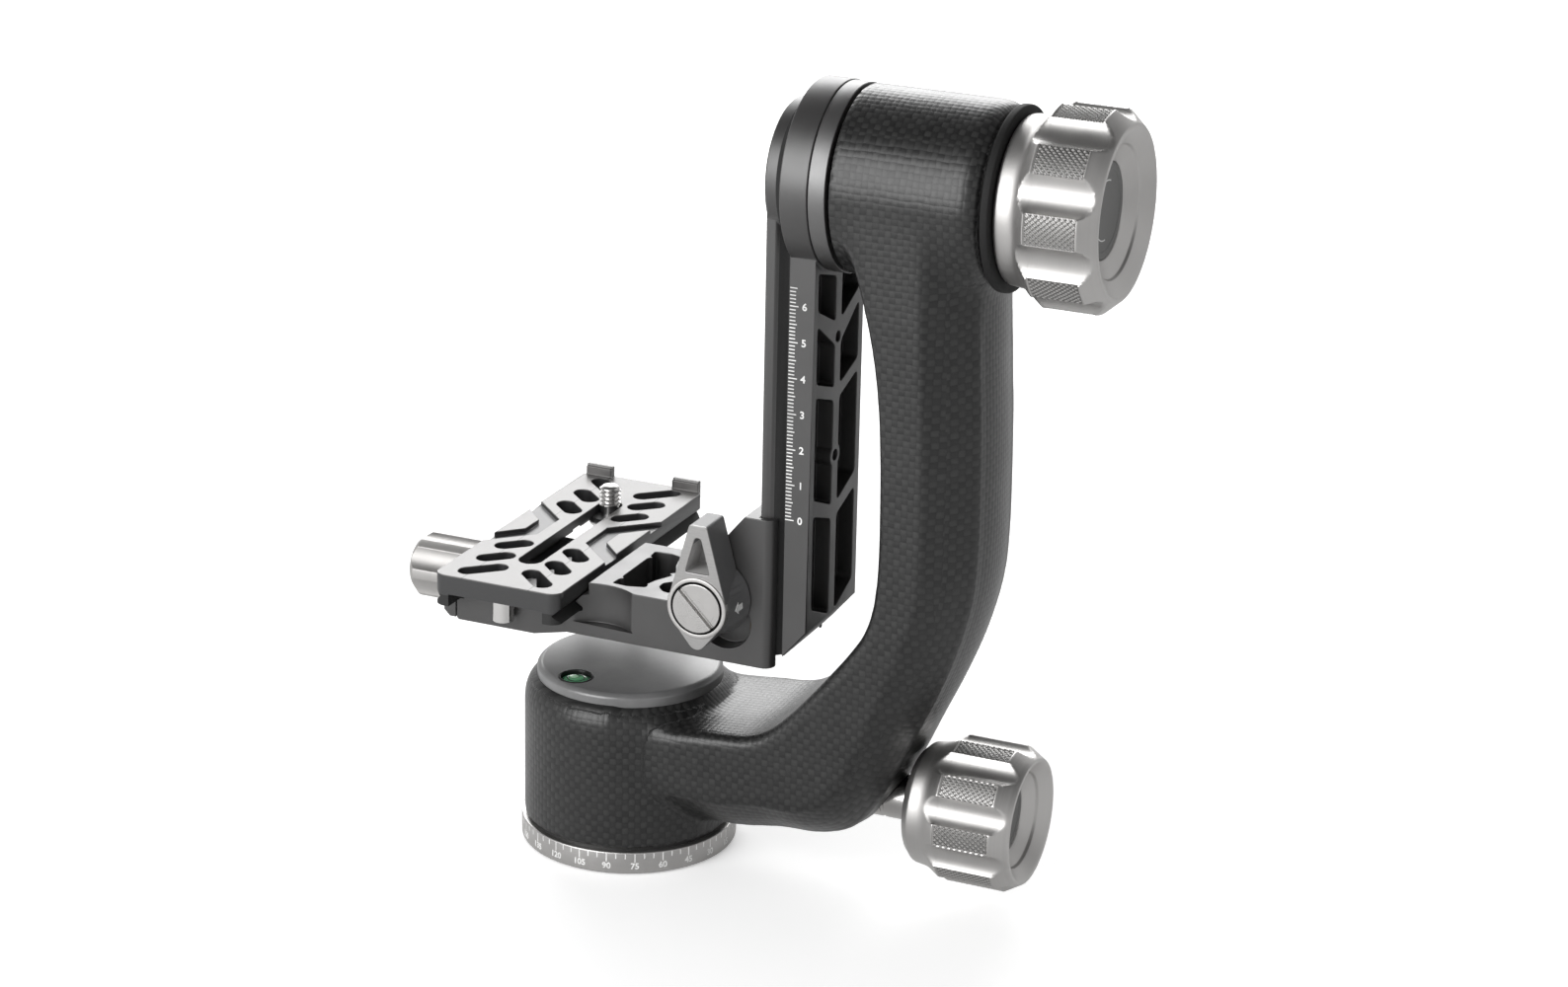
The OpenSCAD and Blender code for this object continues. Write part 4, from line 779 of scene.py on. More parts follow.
class TRIPODHEAD_OT_arm(bpy.types.Operator):
    """Moulds the carbon arm: housing, strap and tilt tube grown into one smooth shell"""
    bl_idname = "tripodhead.arm"
    bl_label = "Carbon arm"

    def execute(self, context):
        settings = context.scene.tripodhead_shell
        arm = weld(strap_surface())
        r, z0, top = HOUSING_R, HOUSING_Z0, HOUSING_TOP
        housing = turned("housing", "z", (0, 0, 0), eased(
            [[0, z0], [r, z0], [r, top], [0, top]], [0, 0.6, 9.0, 0], False, 10), 160)
        tube = turned("tube", "x", (0, 0, TILT_Z), eased(
            [[0, TUBE_X0], [TUBE_R, TUBE_X0], [TUBE_R, REACH], [0, REACH]],
            [0, 0.8, 6.0, 0], False, 10), 160)
        bm = bmesh.new()
        for part in (arm, housing, tube):
            bm.from_mesh(part.data)
        bm.to_mesh(arm.data)
        bm.free()
        bpy.data.objects.remove(housing)
        bpy.data.objects.remove(tube)
        remesh = arm.modifiers.new("mould", "REMESH")
        remesh.mode = "VOXEL"
        remesh.voxel_size = settings.grain
        apply_modifiers(arm)
        self.relax(arm)
        self.open_up(arm)
        smooth(weld(arm), 40.0)
        cloth_map(arm)
        dress(arm, "arm", "carbon", carbon_cloth(settings), "arm_shell")
        return {"FINISHED"}

    def open_up(self, arm):
        """Cuts the cap's seat, the pan bearings' room, the lock shaft's hole and the tube's bore."""
        seat, low, past = BEARING_SEAT_R, HOUSING_Z0 - 1.4, REACH + 3.0
        neck_z, cap_r, high = 40.0, 26.4, CAP_TOP + 1.6
        hole_r, hole_x, bore_x = 6.6, 30.0, TUBE_X0 - 7.4
        cut(arm, turned("seat", "z", (0, 0, 0), np.array(
            [[0, low], [seat, low], [seat, neck_z], [cap_r, CAP_Z0], [cap_r, high], [0, high]]), 160))
        cut(arm, turned("shaft_hole", "x", (0, 0, PAN_LOCK_Z),
                        [[0, hole_x], [hole_r, hole_x], [hole_r, past], [0, past]], 64))
        cut(arm, turned("bore", "x", (0, 0, TILT_Z),
                        [[0, bore_x], [seat, bore_x], [seat, past], [0, past]], 96))

    def relax(self, arm):
        """Each point moves by steps towards the mean of its neighbours: all of them in the
        first steps, to take off the voxel grid, and then those in the hollow corners where
        the strap leaves the housing and the tube. Flat ends stay."""
        mesh = arm.data
        points = points_of(mesh)
        pairs = np.zeros(len(mesh.edges) * 2, int)
        mesh.edges.foreach_get("vertices", pairs)
        a, b = pairs.reshape(-1, 2).T
        count = np.bincount(pairs, minlength=len(points)).astype(float)[:, None]
        x, y, z = points.T
        housing_fillet, tube_fillet, fade = 7.0, 6.0, 6.0
        steps, first_steps, least = 44, 3, 0.12
        foot_x, side_x, tube_low = 8.0, 10.0, -30.0
        near = np.exp(-((np.hypot(x, y) - HOUSING_R) / housing_fillet) ** 2)
        foot = near * (x > foot_x) * np.clip((z - LEG_Z - 2.0) / fade, 0, 1)
        side = near * (x > side_x)
        neck = (np.exp(-((np.hypot(y, z - TILT_Z) - TUBE_R) / tube_fillet) ** 2) * (z < TILT_Z)
                * np.clip((x - TUBE_X0 + 1.4) / fade, 0, 1))
        pull = np.clip(least + np.maximum(np.maximum(foot, 0.9 * side), 0.8 * neck), 0, 1)
        flat_end = ((x < TUBE_X0 + 1.0) & (z > TILT_Z + tube_low)) | (z < HOUSING_Z0 + 0.8)
        pull = np.where(flat_end, 0.0, pull)[:, None]
        first = np.minimum(0.5, pull + 0.3) * (pull > 0)
        later = np.where(pull > least + 0.02, 0.5 * pull, 0.0)
        for step in range(steps):
            total = np.zeros_like(points)
            np.add.at(total, a, points[b])
            np.add.at(total, b, points[a])
            points = points + (first if step < first_steps else later) * (total / count - points)
        set_points(mesh, points)


# Lock knobs


# Outline of a lock knob: shares of its radius, and along the axis of its length
COLLAR_R_SHARE = 0.83
NECK_SHARE, CONE_SHARE, MIDDLE_SHARE, LAND_SHARE = 0.2, 0.34, 0.6, 0.85
LIP_R_SHARES = (0.86, 0.82)
DISH_SHARES = ((0.66, 0.91), (0.645, 0.885))
BADGE_R_SHARE, BADGE_SHARE = 0.475, 0.8
BADGE_DEPTH = 1.2
SHAFT_R = 5.05
FLUTE_R_SHARE, FLUTE_DEPTH_SHARE = 0.26, 0.107


def knob_outline(radius, length_mm, back, knurl_rows):
    """Outline of a knob from its shaft over the collar, the cone and the lands to the dish
    in its face, as rows of radius and height. Long runs get a row every 0.8 mm, so that the
    flutes meet the cones in clean curves."""
    r, l, collar = radius, length_mm, COLLAR_R_SHARE * radius
    seat = BADGE_R_SHARE * r
    lower = eased([[SHAFT_R, 0.0], [collar - back, 0.0], [collar, back],
                   [collar + 0.6, NECK_SHARE * l], [r, CONE_SHARE * l], [r, MIDDLE_SHARE * l]],
                  [0, 0.3, 0.5, 1.6, 0.4, 0], False, 4)[:-1]
    front = [[r, MIDDLE_SHARE * l], [r, LAND_SHARE * l], *([k * r, l] for k in LIP_R_SHARES),
             *([k * r, h * l] for k, h in DISH_SHARES), [seat, BADGE_SHARE * l],
             [seat, BADGE_SHARE * l - BADGE_DEPTH], [0, BADGE_SHARE * l - BADGE_DEPTH]]
    upper = eased(front, [0, 0.3, 0.3, 0.35, 0.2, 0.2, 0.5, 0.1, 0], False, 4)[1:]
    lands = np.stack([np.full(len(knurl_rows), r), knurl_rows], -1)
    outline = np.vstack([lower, lands, upper])
    dense = []
    for near, far in zip(outline[:-1], outline[1:]):
        parts = max(1, int(np.hypot(*(far - near)) / 0.8)) if near[0] > 0.6 * r else 1
        dense.append(near + (far - near) * np.arange(parts)[:, None] / parts)
    return np.vstack([*dense, outline[-1:]])


def triangle_wave(value):
    """Falls from 1 to 0 and climbs back over each whole step of the value."""
    return np.abs(2 * (value - np.floor(value)) - 1)


def knob_surface(name, place, radius, length_mm, back, diamonds, settings):
    """A lock knob along X on a grid of angle and outline. The outside is the lesser of the
    turned outline and the flute's wall, which at an angle e from a flute's middle stands at
    d cos e - sqrt(c^2 - d^2 sin^2 e) for a cutter of radius c at distance d. On the lands
    two families of slanted triangle waves raise the diamonds: 1 - max(wave(u + v), wave(u - v)),
    with four grid columns and four rows to a diamond."""
    r, l = radius, length_mm
    columns = 4 * diamonds * settings.flutes
    low, high = CONE_SHARE * l + 0.3, LAND_SHARE * l - 0.3
    count = 4 * int((high - low) / (settings.pitch / MM)) + 1
    knurl_rows = low + np.arange(count) * (high - low) / (count - 1)
    rows = knob_outline(r, l, back, knurl_rows)
    outer = np.arange(len(rows)) <= np.argmin(np.abs(rows - [LIP_R_SHARES[0] * r, l]).sum(1))
    angle = np.arange(columns) * TURN / columns
    cut_r, cut_d = FLUTE_R_SHARE * r, (1 - FLUTE_DEPTH_SHARE + FLUTE_R_SHARE) * r
    off = (angle % (TURN / settings.flutes)) - TURN / settings.flutes / 2
    reach = cut_r ** 2 - (cut_d * np.sin(off)) ** 2
    wall = np.where(reach > 0, cut_d * np.cos(off) - np.sqrt(np.maximum(reach, 0)), 10 * r)
    rho = np.where(outer[:, None], np.minimum(rows[:, :1], wall[None, :]), rows[:, :1])
    u = np.arange(columns)[None, :] / 4.0
    v = (rows[:, 1:] - low) / (knurl_rows[1] - knurl_rows[0]) / 4.0
    diamond = 1 - np.maximum(triangle_wave(u + v), triangle_wave(u - v))
    band = outer & (rows[:, 1] > low + 0.01) & (rows[:, 1] < high - 0.01)
    land = (wall[None, :] > r + 0.02) & band[:, None]
    valley = np.where(land, 1 - diamond, 0.0)
    rho = rho - settings.knurl / MM * valley
    points = on_axis("x", place, rho, rows[:, 1:], angle[None, :] + math.pi)
    piece = new_piece(name, points, grid_faces(len(rows), columns))
    # The knurl's depth at each point, also read by the material to paint shade in the valleys
    piece.data.attributes.new("valley", "FLOAT", "POINT").data.foreach_set("value", valley.ravel())
    return smooth(weld(piece), 30.0)


class TRIPODHEAD_OT_knobs(bpy.types.Operator):
    """Turns, scoops and knurls the two lock knobs"""
    bl_idname = "tripodhead.knobs"
    bl_label = "Lock knobs"

    def execute(self, context):
        silver = tuple(context.scene.tripodhead_metals.silver)
        # Name, back face and axis, radius, length, back chamfer, diamonds on a land, body
        for name, place, r, l, back, diamonds, body in (
                ("tilt_lock_knob", (111.7, 0, TILT_Z), 27.0, 28.7, 0.6, 13, "tilt_lock"),
                ("pan_lock_knob", (89.5, 0, PAN_LOCK_Z), 20.4, 32.4, 2.2, 10, "pan_lock")):
            node = name.replace("_lock", "")
            knob = knob_surface(name, place, r, l, back, diamonds, context.scene.tripodhead_knobs)
            dress(knob, body, "satin_silver",
                  turned_metal(name + "_metal", silver, "x", place, 0.42, valley=True), node)
            self.badge(node, place, r, place[0] + BADGE_SHARE * l, body)
        return {"FINISHED"}

    def badge(self, node, place, r, face, body):
        """The sunken disc in a knob's dish, with a raised rim."""
        disc_r, rim, floor = BADGE_R_SHARE * r - 0.05, face - 0.05, face - 0.25
        disc = turned(node + "_badge", "x", (0, *place[1:]), eased(
            [[0, face - BADGE_DEPTH], [disc_r, face - BADGE_DEPTH], [disc_r, rim],
             [0.86 * disc_r, rim], [0.84 * disc_r, floor], [0, floor]],
            [0, 0.1, 0.15, 0.1, 0.1, 0], False, 3), 96)
        finish = ringed_disc(node + "_badge_finish", (face, *place[1:]), 0.62 * disc_r)
        dress(disc, body, "grey_disc", finish, node + "_disc")


# Turned pieces


class TRIPODHEAD_OT_base(bpy.types.Operator):
    """Turns the base ring, the cap with its level, the seal ring, the pivot disc and the shaft"""
    bl_idname = "tripodhead.base"
    bl_label = "Turned pieces"

    def execute(self, context):
        metals = context.scene.tripodhead_metals
        self.ring(tuple(metals.silver))
        self.cap()
        self.level()
        seal_r0, seal_r, seal_x0, seal_x1 = 20.7, 24.7, REACH, REACH + 2.4
        seal = turned("tube_seal", "x", (0, 0, TILT_Z), eased(
            [[seal_r0, seal_x0], [seal_r, seal_x0], [seal_r, seal_x1], [seal_r0, seal_x1]],
            [0.1, 0.7, 0.7, 0.1], True, 5), 160, True)
        dress(seal, "arm", "rubber", plain_plastic("seal_rubber", (0.002, 0.002, 0.002), 0.75, 0.01),
              "tilt_seal_ring")
        disc_metal = turned_metal("pivot_metal", tuple(metals.black), "x", (0, 0, TILT_Z), 0.40,
                                  0.005, 0.0, ior=2.3)
        dress(softened("pivot_plate", "pivot_disc", 0.3), "swing", "black_anodised", disc_metal,
              "pivot_disc")
        self.shaft()
        return {"FINISHED"}

    def ring(self, silver):
        """The base ring with its steps for the thread bush and the spindle's foot."""
        bush_r, foot_r, step_z = 7.05, 9.05, 3.5
        ring = turned("scale_ring", "z", (0, 0, 0), eased(
            [[bush_r, 0], [RING_R, 0], [RING_R, RING_TOP], [foot_r, RING_TOP], [foot_r, step_z],
             [bush_r, step_z]], [0.1, 0.7, 0.5, 0.2, 0.1, 0.1], True, 4), 192, True)
        dress(ring, "base", "satin_silver",
              turned_metal("ring_metal", silver, "z", (0, 0, 0), 0.40, 0.005), "pan_base_ring")

    def cap(self):
        """The housing's cap with a chamfered rim and room for the level."""
        rim_z, face_r, well_r = CAP_TOP - 1.2, CAP_R - 1.3, 5.05
        cap = turned("housing_cap", "z", (0, 0, 0), eased(
            [[0, CAP_Z0], [CAP_R, CAP_Z0], [CAP_R, rim_z], [face_r, CAP_TOP], [0, CAP_TOP]],
            [0, 0.2, 0.5, 0.7, 0], False, 4), 192)
        past = CAP_TOP + 1.6
        cut(cap, turned("well_room", "z", (LEVEL_X, LEVEL_Y, 0), [
            [0, LEVEL_Z0], [well_r, LEVEL_Z0], [well_r, past], [0, past]], 64))
        smooth(weld(cap), 30)
        dress(cap, "arm", "black_plastic",
              plain_plastic("cap_plastic", (0.14, 0.14, 0.141), 0.36, 0.012, ior=1.9), "pan_cap")

    def level(self):
        """The round level: a domed vial in a thin collar."""
        well = (LEVEL_X, LEVEL_Y, 0)
        vial_r, vial_z, shoulder_z, dome_r, dome_z, top_z = 4.3, 49.0, 51.3, 3.0, 51.9, 52.1
        vial = turned("level_bubble", "z", well, eased(
            [[0, vial_z], [vial_r, vial_z], [vial_r, shoulder_z], [dome_r, dome_z], [0, top_z]],
            [0, 0.1, 0.4, 1.0, 0], False, 5), 64)
        dress(vial, "arm", "green_vial", bubble_glass("level_glass", well, vial_r), "level_vial")
        outer_r, inner_r, rim_z = 5.0, 4.35, CAP_TOP + 0.15
        collar = turned("level_collar", "z", well, eased(
            [[outer_r, LEVEL_Z0], [outer_r, rim_z], [inner_r, rim_z], [inner_r, LEVEL_Z0]],
            [0, 0.25, 0.25, 0], True, 3), 64, True)
        dress(collar, "arm", "black_plastic",
              plain_plastic("collar_plastic", (0.012, 0.012, 0.012), 0.22, 0.01), "level_well")

    def shaft(self):
        """The pan lock's shaft with a groove in its wide part, and the O-ring behind the knob."""
        tip_x, wide_x, groove_x, knob_x, end_x = 22.1, 66.3, 80.0, 89.5, 100.3
        thin_r, wide_r, groove_r, bevel = 5.0, 6.3, 5.85, 0.4
        near, far = groove_x - bevel, groove_x + bevel
        shaft = turned("lock_shaft", "x", (0, 0, PAN_LOCK_Z), eased(
            [[0, tip_x], [thin_r, tip_x], [thin_r, wide_x], [wide_r, wide_x], [wide_r, near - 0.2],
             [groove_r, near], [groove_r, far], [wide_r, far + 0.2], [wide_r, knob_x],
             [thin_r, knob_x], [thin_r, end_x], [0, end_x]],
            [0, 0.5, 0.1, 0.3, 0.15, 0.1, 0.1, 0.15, 0.1, 0.1, 0.5, 0], False, 3), 96)
        dress(shaft, "pan_lock", "polished_steel",
              turned_metal("shaft_metal", DULL_STEEL, "x", (0, 0, PAN_LOCK_Z), 0.20, 0.002),
              "pan_lock_shaft")
        ring_x, ring_r, cord_r = 88.4, 7.35, 1.0
        angle = np.arange(24) * TURN / 24
        oring = turned("lock_oring", "x", (ring_x, 0, PAN_LOCK_Z), np.stack(
            [ring_r + cord_r * np.cos(angle), cord_r * np.sin(angle)], -1), 96, True)
        dress(oring, "pan_lock", "rubber",
              plain_plastic("oring_rubber", (0.014, 0.014, 0.014), 0.35, 0.01), "pan_lock_oring")


# Rail, cradle, lever and plate


class TRIPODHEAD_OT_rail(bpy.types.Operator):
    """Breaks the edges of the swinging rail and of its stop strip"""
    bl_idname = "tripodhead.rail"
    bl_label = "Rail"

    def execute(self, context):
        metals = context.scene.tripodhead_metals
        edge = metals.edge / MM
        # Painted shade: the dovetail's flank, x 50.4 to 53.9, is painted black
        rail = blasted("rail_anodise", tuple(metals.black), 0.42, ior=1.85, shaded_span=(50.4, 53.9))
        strip = blasted("strip_anodise", (0.11, 0.11, 0.111), 0.45, ior=2.2)
        dress(softened("swing_rail", "rail", edge), "swing", "black_anodised", rail, "rail")
        dress(softened("stop_strip", "rail_stop_strip", edge), "swing", "black_anodised", strip,
              "rail_stop_strip")
        return {"FINISHED"}


class TRIPODHEAD_OT_cradle(bpy.types.Operator):
    """Finishes the cradle bracket, the moving jaw and the clamp knob"""
    bl_idname = "tripodhead.cradle"
    bl_label = "Cradle and clamp"

    def execute(self, context):
        metals = context.scene.tripodhead_metals
        narrow = 0.15
        # Painted shade: x 51.3 to 52.0, in the gap between the upright and the rail, is painted black
        black = blasted("cradle_anodise", tuple(metals.black), ior=1.85, shaded_span=(51.3, 52.0))
        dress(softened("cradle_body", "cradle_bracket", metals.edge / MM), "cradle",
              "black_anodised", black, "cradle_bracket")
        dress(softened("moving_jaw", "clamp_jaw", narrow), "jaw", "black_anodised", black, "clamp_jaw")
        grip_place = (-57.0, 0, middle("clamp_knob")[2])
        grip = turned_metal("grip_metal", DULL_STEEL, "x", grip_place, 0.52, 0.004)
        dress(softened("clamp_grip", "clamp_knob", narrow), "clamp_knob", "satin_silver", grip,
              "clamp_knob")
        return {"FINISHED"}


class TRIPODHEAD_OT_lever(bpy.types.Operator):
    """Finishes the height lever, the raised rim round its hub and its slotted screw cap"""
    bl_idname = "tripodhead.lever"
    bl_label = "Height lever"

    def execute(self, context):
        front, side = (0.42, 0.415, 0.41), (0.13, 0.13, 0.132)
        hub = (LEVER_X, 0, LEVER_Z)
        dress(softened("lock_lever", "height_lever", 0.2), "lever", "graphite_anodised",
              lever_metal(front, side), "height_lever")
        rim_r0, rim_r, rim_y, foot_y = 7.55, 8.7, LEVER_FRONT - 0.45, LEVER_FRONT + 1.3
        rim = turned("lever_rim", "y", hub, eased(
            [[rim_r0, foot_y], [rim_r, foot_y], [rim_r, rim_y], [rim_r0, rim_y]],
            [0, 0, 0.45, 0.2], True, 4), 128, True)
        dress(rim, "lever", "graphite_anodised",
              turned_metal("lever_rim_metal", PALE_STEEL, "y", hub, 0.40, 0.003))
        dress(softened("lever_screw", "lever_screw_cap"), "lever", "satin_silver",
              turned_metal("lever_screw_metal", PALE_STEEL, "y", hub, 0.27, 0.004), "lever_screw_cap")
        return {"FINISHED"}


class TRIPODHEAD_OT_plate(bpy.types.Operator):
    """Finishes the quick-release plate, its stop pins and the camera screw"""
    bl_idname = "tripodhead.plate"
    bl_label = "Quick-release plate"

    def execute(self, context):
        metals = context.scene.tripodhead_metals
        steel = tuple(metals.steel)
        upper = PLATE_Z - 2.2
        plate = softened("release_plate", "quick_release_plate", metals.edge / MM, upper)
        dress(plate, "plate", "black_anodised", plate_anodise(tuple(metals.graphite)),
              "quick_release_plate")
        pins = softened("stop_pins", "plate_stop_pins", 0.15)
        dress(pins, "plate", "polished_steel", blasted("pin_metal", steel, 0.16, 1.0, 0.002, 0.05),
              "plate_stop_pins")
        dress(self.screw(), "camera_screw", "polished_steel",
              blasted("camera_screw_metal", steel, 0.2, 1.0, 0.002, 0.06), "camera_screw")
        return {"FINISHED"}

    def screw(self):
        """Camera screw. The thread's radius is the crest less the depth times a triangle
        wave of height / pitch - angle / turn, and it fades out at both ends. Head and foot
        are turned."""
        columns, thread_rows = 72, 90
        z, top, y = PLATE_Z, corners("camera_screw")[1][2], middle("camera_screw")[1]
        pitch, crest_r, core_r, depth, head_r, head_z = 1.27, 3.175, 2.82, 0.72, 6.0, PLATE_Z - 5.3
        h = np.linspace(z + 0.3, top - 0.5, thread_rows)[:, None]
        a = (np.arange(columns) * TURN / columns)[None, :]
        wave = triangle_wave(h / pitch - a / TURN)
        ends = np.clip((top - 0.4 - h) / 0.9, 0, 1) * np.clip((h - z) / 0.5, 0, 1)
        crest = crest_r - 0.5 * np.clip((h - top + 1.0) / 0.5, 0, 1)
        rho = crest - depth * np.clip(1.25 * (1 - wave) - 0.12, 0, 1) * np.maximum(ends, 0.35)
        foot = eased([[0, head_z], [head_r, head_z], [head_r, head_z + 2.0],
                      [core_r, head_z + 2.0], [core_r, z + 0.25]], [0, 0.3, 0.3, 0.1, 0], False, 3)
        tip = np.array([[2.1, top - 0.15], [1.7, top], [0, top]])
        wide = np.ones((1, columns))
        radius = np.vstack([foot[:, :1] * wide, rho, tip[:, :1] * wide])
        height = np.vstack([foot[:, 1:] * wide, h * wide, tip[:, 1:] * wide])
        points = on_axis("z", (PLATE_X, y, 0), radius, height, a)
        return smooth(weld(new_piece("camera_bolt", points, grid_faces(len(radius), columns))), 50)


# Scales


def lettering(text, height):
    """Digits as a thin mesh in the XY plane, in metres, a height in millimetres tall."""
    digit_share = 0.70
    curve = bpy.data.curves.new("digits", "FONT")
    curve.body = text
    curve.align_x = "CENTER"
    curve.align_y = "CENTER"
    curve.size = height * MM / digit_share
    curve.resolution_u = 4
    curve.extrude = 0.03 * MM
    curve.offset = 0.06 * MM
    shape = add_piece("digits", curve)
    bpy.context.view_layer.update()
    mesh = bpy.data.meshes.new_from_object(shape.evaluated_get(bpy.context.evaluated_depsgraph_get()))
    bpy.data.objects.remove(shape)
    return mesh


def joined(name, meshes):
    """One piece of several meshes."""
    bm = bmesh.new()
    for mesh in meshes:
        bm.from_mesh(mesh)
    bmesh.ops.remove_doubles(bm, verts=bm.verts, dist=0.001 * MM)
    bmesh.ops.recalc_face_normals(bm, faces=bm.faces)
    mesh = bpy.data.meshes.new(name)
    bm.to_mesh(mesh)
    bm.free()
    return add_piece(name, mesh)


def boxes(points):
    """Mesh of many small boxes from an array of boxes by eight corners: four round one end,
    then the four over them."""
    sides = np.array([[0, 3, 2, 1], [4, 5, 6, 7], [0, 1, 5, 4], [1, 2, 6, 5], [2, 3, 7, 6],
                      [3, 0, 4, 7]])
    faces = (np.arange(len(points))[:, None, None] * 8 + sides).reshape(-1, 4)
    mesh = bpy.data.meshes.new("boxes")
    mesh.from_pydata((points.reshape(-1, 3) * MM).tolist(), [], faces.tolist())
    return mesh


def bars(low, high):
    """Mesh of many small boxes from arrays of their lowest and highest corners."""
    end = np.array([[0, 0], [1, 0], [1, 1], [0, 1]])
    pick = np.vstack([np.insert(end, 2, k, 1) for k in (0, 1)])
    return boxes(low[:, None] * (1 - pick) + high[:, None] * pick)


def drum_marks(axis, centre, radius, angle, height):
    """Mesh of thin marks wrapped on a drum. Each row of angle and of height gives the four
    corners of a mark, which reaches from just under the wall to just over it."""
    under, over = -0.03, 0.05
    layers = [on_axis(axis, centre, radius + rise, height, angle) for rise in (under, over)]
    return boxes(np.concatenate(layers, 1))


class TRIPODHEAD_OT_marks(bpy.types.Operator):
    """Paints the rail's centimetre scale, the ring's degrees and the lever's arrow"""
    bl_idname = "tripodhead.marks"
    bl_label = "Scales"

    def execute(self, context):
        marks = context.scene.tripodhead_marks
        paint = plain_plastic("scale_paint", tuple(marks.paint), 0.45, 0.004)
        line = marks.line / MM
        dress(joined("rail_scale", self.rail_marks(line, marks.digit / MM)), "swing",
              "satin_silver", paint)
        dress(joined("ring_scale", self.ring_marks(line)), "base", "satin_silver", paint)
        dress(joined("lever_arrow", [self.arrow()]), "lever", "graphite_anodised", paint)
        return {"FINISHED"}

    def rail_marks(self, line, digit):
        """A line every millimetre, longer at five and ten, and the centimetres' numbers."""
        line_x, digit_x, last = 54.15, 58.4, 6
        under, over = RAIL_FACE - 0.05, RAIL_FACE + 0.03
        count = np.arange(10 * last + 6)
        z = SCALE_ZERO + count
        reach = np.where(count % 10 == 0, 2.5, np.where(count % 5 == 0, 2.1, 1.7))
        low = np.stack([np.full(len(z), line_x), np.full(len(z), under), z - line / 2], -1)
        high = np.stack([line_x + reach, np.full(len(z), over), z + line / 2], -1)
        meshes = [bars(low, high)]
        upright = Matrix.Rotation(math.pi / 2, 4, "X")
        for value in range(last + 1):
            text = lettering(str(value), digit)
            place = Vector((digit_x, RAIL_FACE - 0.02, SCALE_ZERO + 10 * value)) * MM
            text.transform(Matrix.Translation(place) @ upright)
            meshes.append(text)
        return meshes

    def ring_marks(self, line):
        """A line every five degrees, long at each fifteen, and numbers wrapped on the wall.
        The turn puts 90 where the photograph has it."""
        r, first, digit, digit_z, line_top = RING_R, 14, 1.75, 2.35, 6.15
        meshes = []
        for number in range(0, 360, 15):
            text = lettering(str(number), digit)
            co = points_of(text)
            around = math.radians(90 + first - number) + co[:, 0] / r
            depth = r + 0.02 + co[:, 2] * 0.9
            set_points(text, np.stack([depth * np.sin(around), -depth * np.cos(around),
                                       digit_z + co[:, 1]], -1))
            meshes.append(text)
        steps = np.arange(72) * 5
        tall = np.where(steps % 15 == 0, 2.5, 1.5)
        corner = np.array([[-1, 0], [1, 0], [1, 1], [-1, 1]])
        angle = np.radians(first - steps)[:, None] + corner[:, 0] * line / 2 / r
        meshes.append(drum_marks("z", (0, 0, 0), r, angle, line_top - tall[:, None] * (1 - corner[:, 1])))
        return meshes

    def arrow(self):
        """Arrow on the lever's hub: a head that points to the front and three short bars,
        as rows of arc and Y."""
        hub_r, hub_turn, tip_y, head_y, half, bar_half, bar = 11.0, 4.0, -29.3, -27.0, 1.7, 0.85, 0.6
        head = [[0.0, tip_y], [0.0, tip_y], [half, head_y], [-half, head_y]]
        tail = [[[-bar_half, y], [-bar_half, y + bar], [bar_half, y + bar], [bar_half, y]]
                for y in (head_y, head_y + 0.9, head_y + 1.8)]
        shape = np.array([head, *tail])
        return drum_marks("y", (LEVER_X, 0, LEVER_Z), hub_r,
                          math.radians(hub_turn) + shape[..., 0] / hub_r, shape[..., 1])


# Inner pieces


class TRIPODHEAD_OT_finishes(bpy.types.Operator):
    """Gives the carried-over solids their finishes"""
    bl_idname = "tripodhead.finishes"
    bl_label = "Inner pieces"

    def execute(self, context):
        metals = context.scene.tripodhead_metals
        finish_node(blasted("inner_steel", tuple(metals.steel), 0.24, 1.0, 0.003, 0.06),
                    "tripod_thread_bush", "tilt_lock_stud", "height_push_pin", "height_cam_shaft",
                    "jaw_guide_pins", "clamp_screw", "pan_spindle", "tilt_spindle")
        finish_node(blasted("race_steel", (0.60, 0.61, 0.63), 0.16, 1.0, 0.002, 0.05),
                    *(f"{place}_bearing_{part}" for place in ("pan", "tilt")
                      for part in ("inner_rings", "outer_rings", "balls")))
        finish_node(blasted("black_steel", (0.05, 0.05, 0.052), 0.34, 0.6, 0.004),
                    "base_screws", "rail_head_screws", "rail_strip_screws",
                    "pan_retaining_nut", "tilt_retaining_nut")
        finish_node(blasted("bush_brass", tuple(metals.brass), 0.34, 1.0, 0.006, 0.1),
                    "pan_lock_bush", "tilt_lock_bush")
        finish_node(blasted("gib_bronze", (0.10, 0.075, 0.045), 0.5, 1.0, 0.006, 0.1), "height_gib")
        finish_node(plain_plastic("pad_plastic", (0.16, 0.10, 0.06), 0.55),
                    "pan_brake_shoe", "tilt_brake_pad")
        finish_node(plain_plastic("washer_plastic", (0.018, 0.018, 0.018), 0.45),
                    "pan_friction_washer", "camera_screw_washer")
        return {"FINISHED"}


# Studio


def lamp(name, place, aim, size, power):
    """A soft rectangular lamp in metres that looks at its aim."""
    light = bpy.data.lights.new(name, "AREA")
    light.shape = "RECTANGLE"
    light.size, light.size_y = size
    light.energy = power
    thing = add_piece(name, light)
    thing.location = place
    thing.rotation_euler = (Vector(aim) - Vector(place)).to_track_quat("-Z", "Y").to_euler()


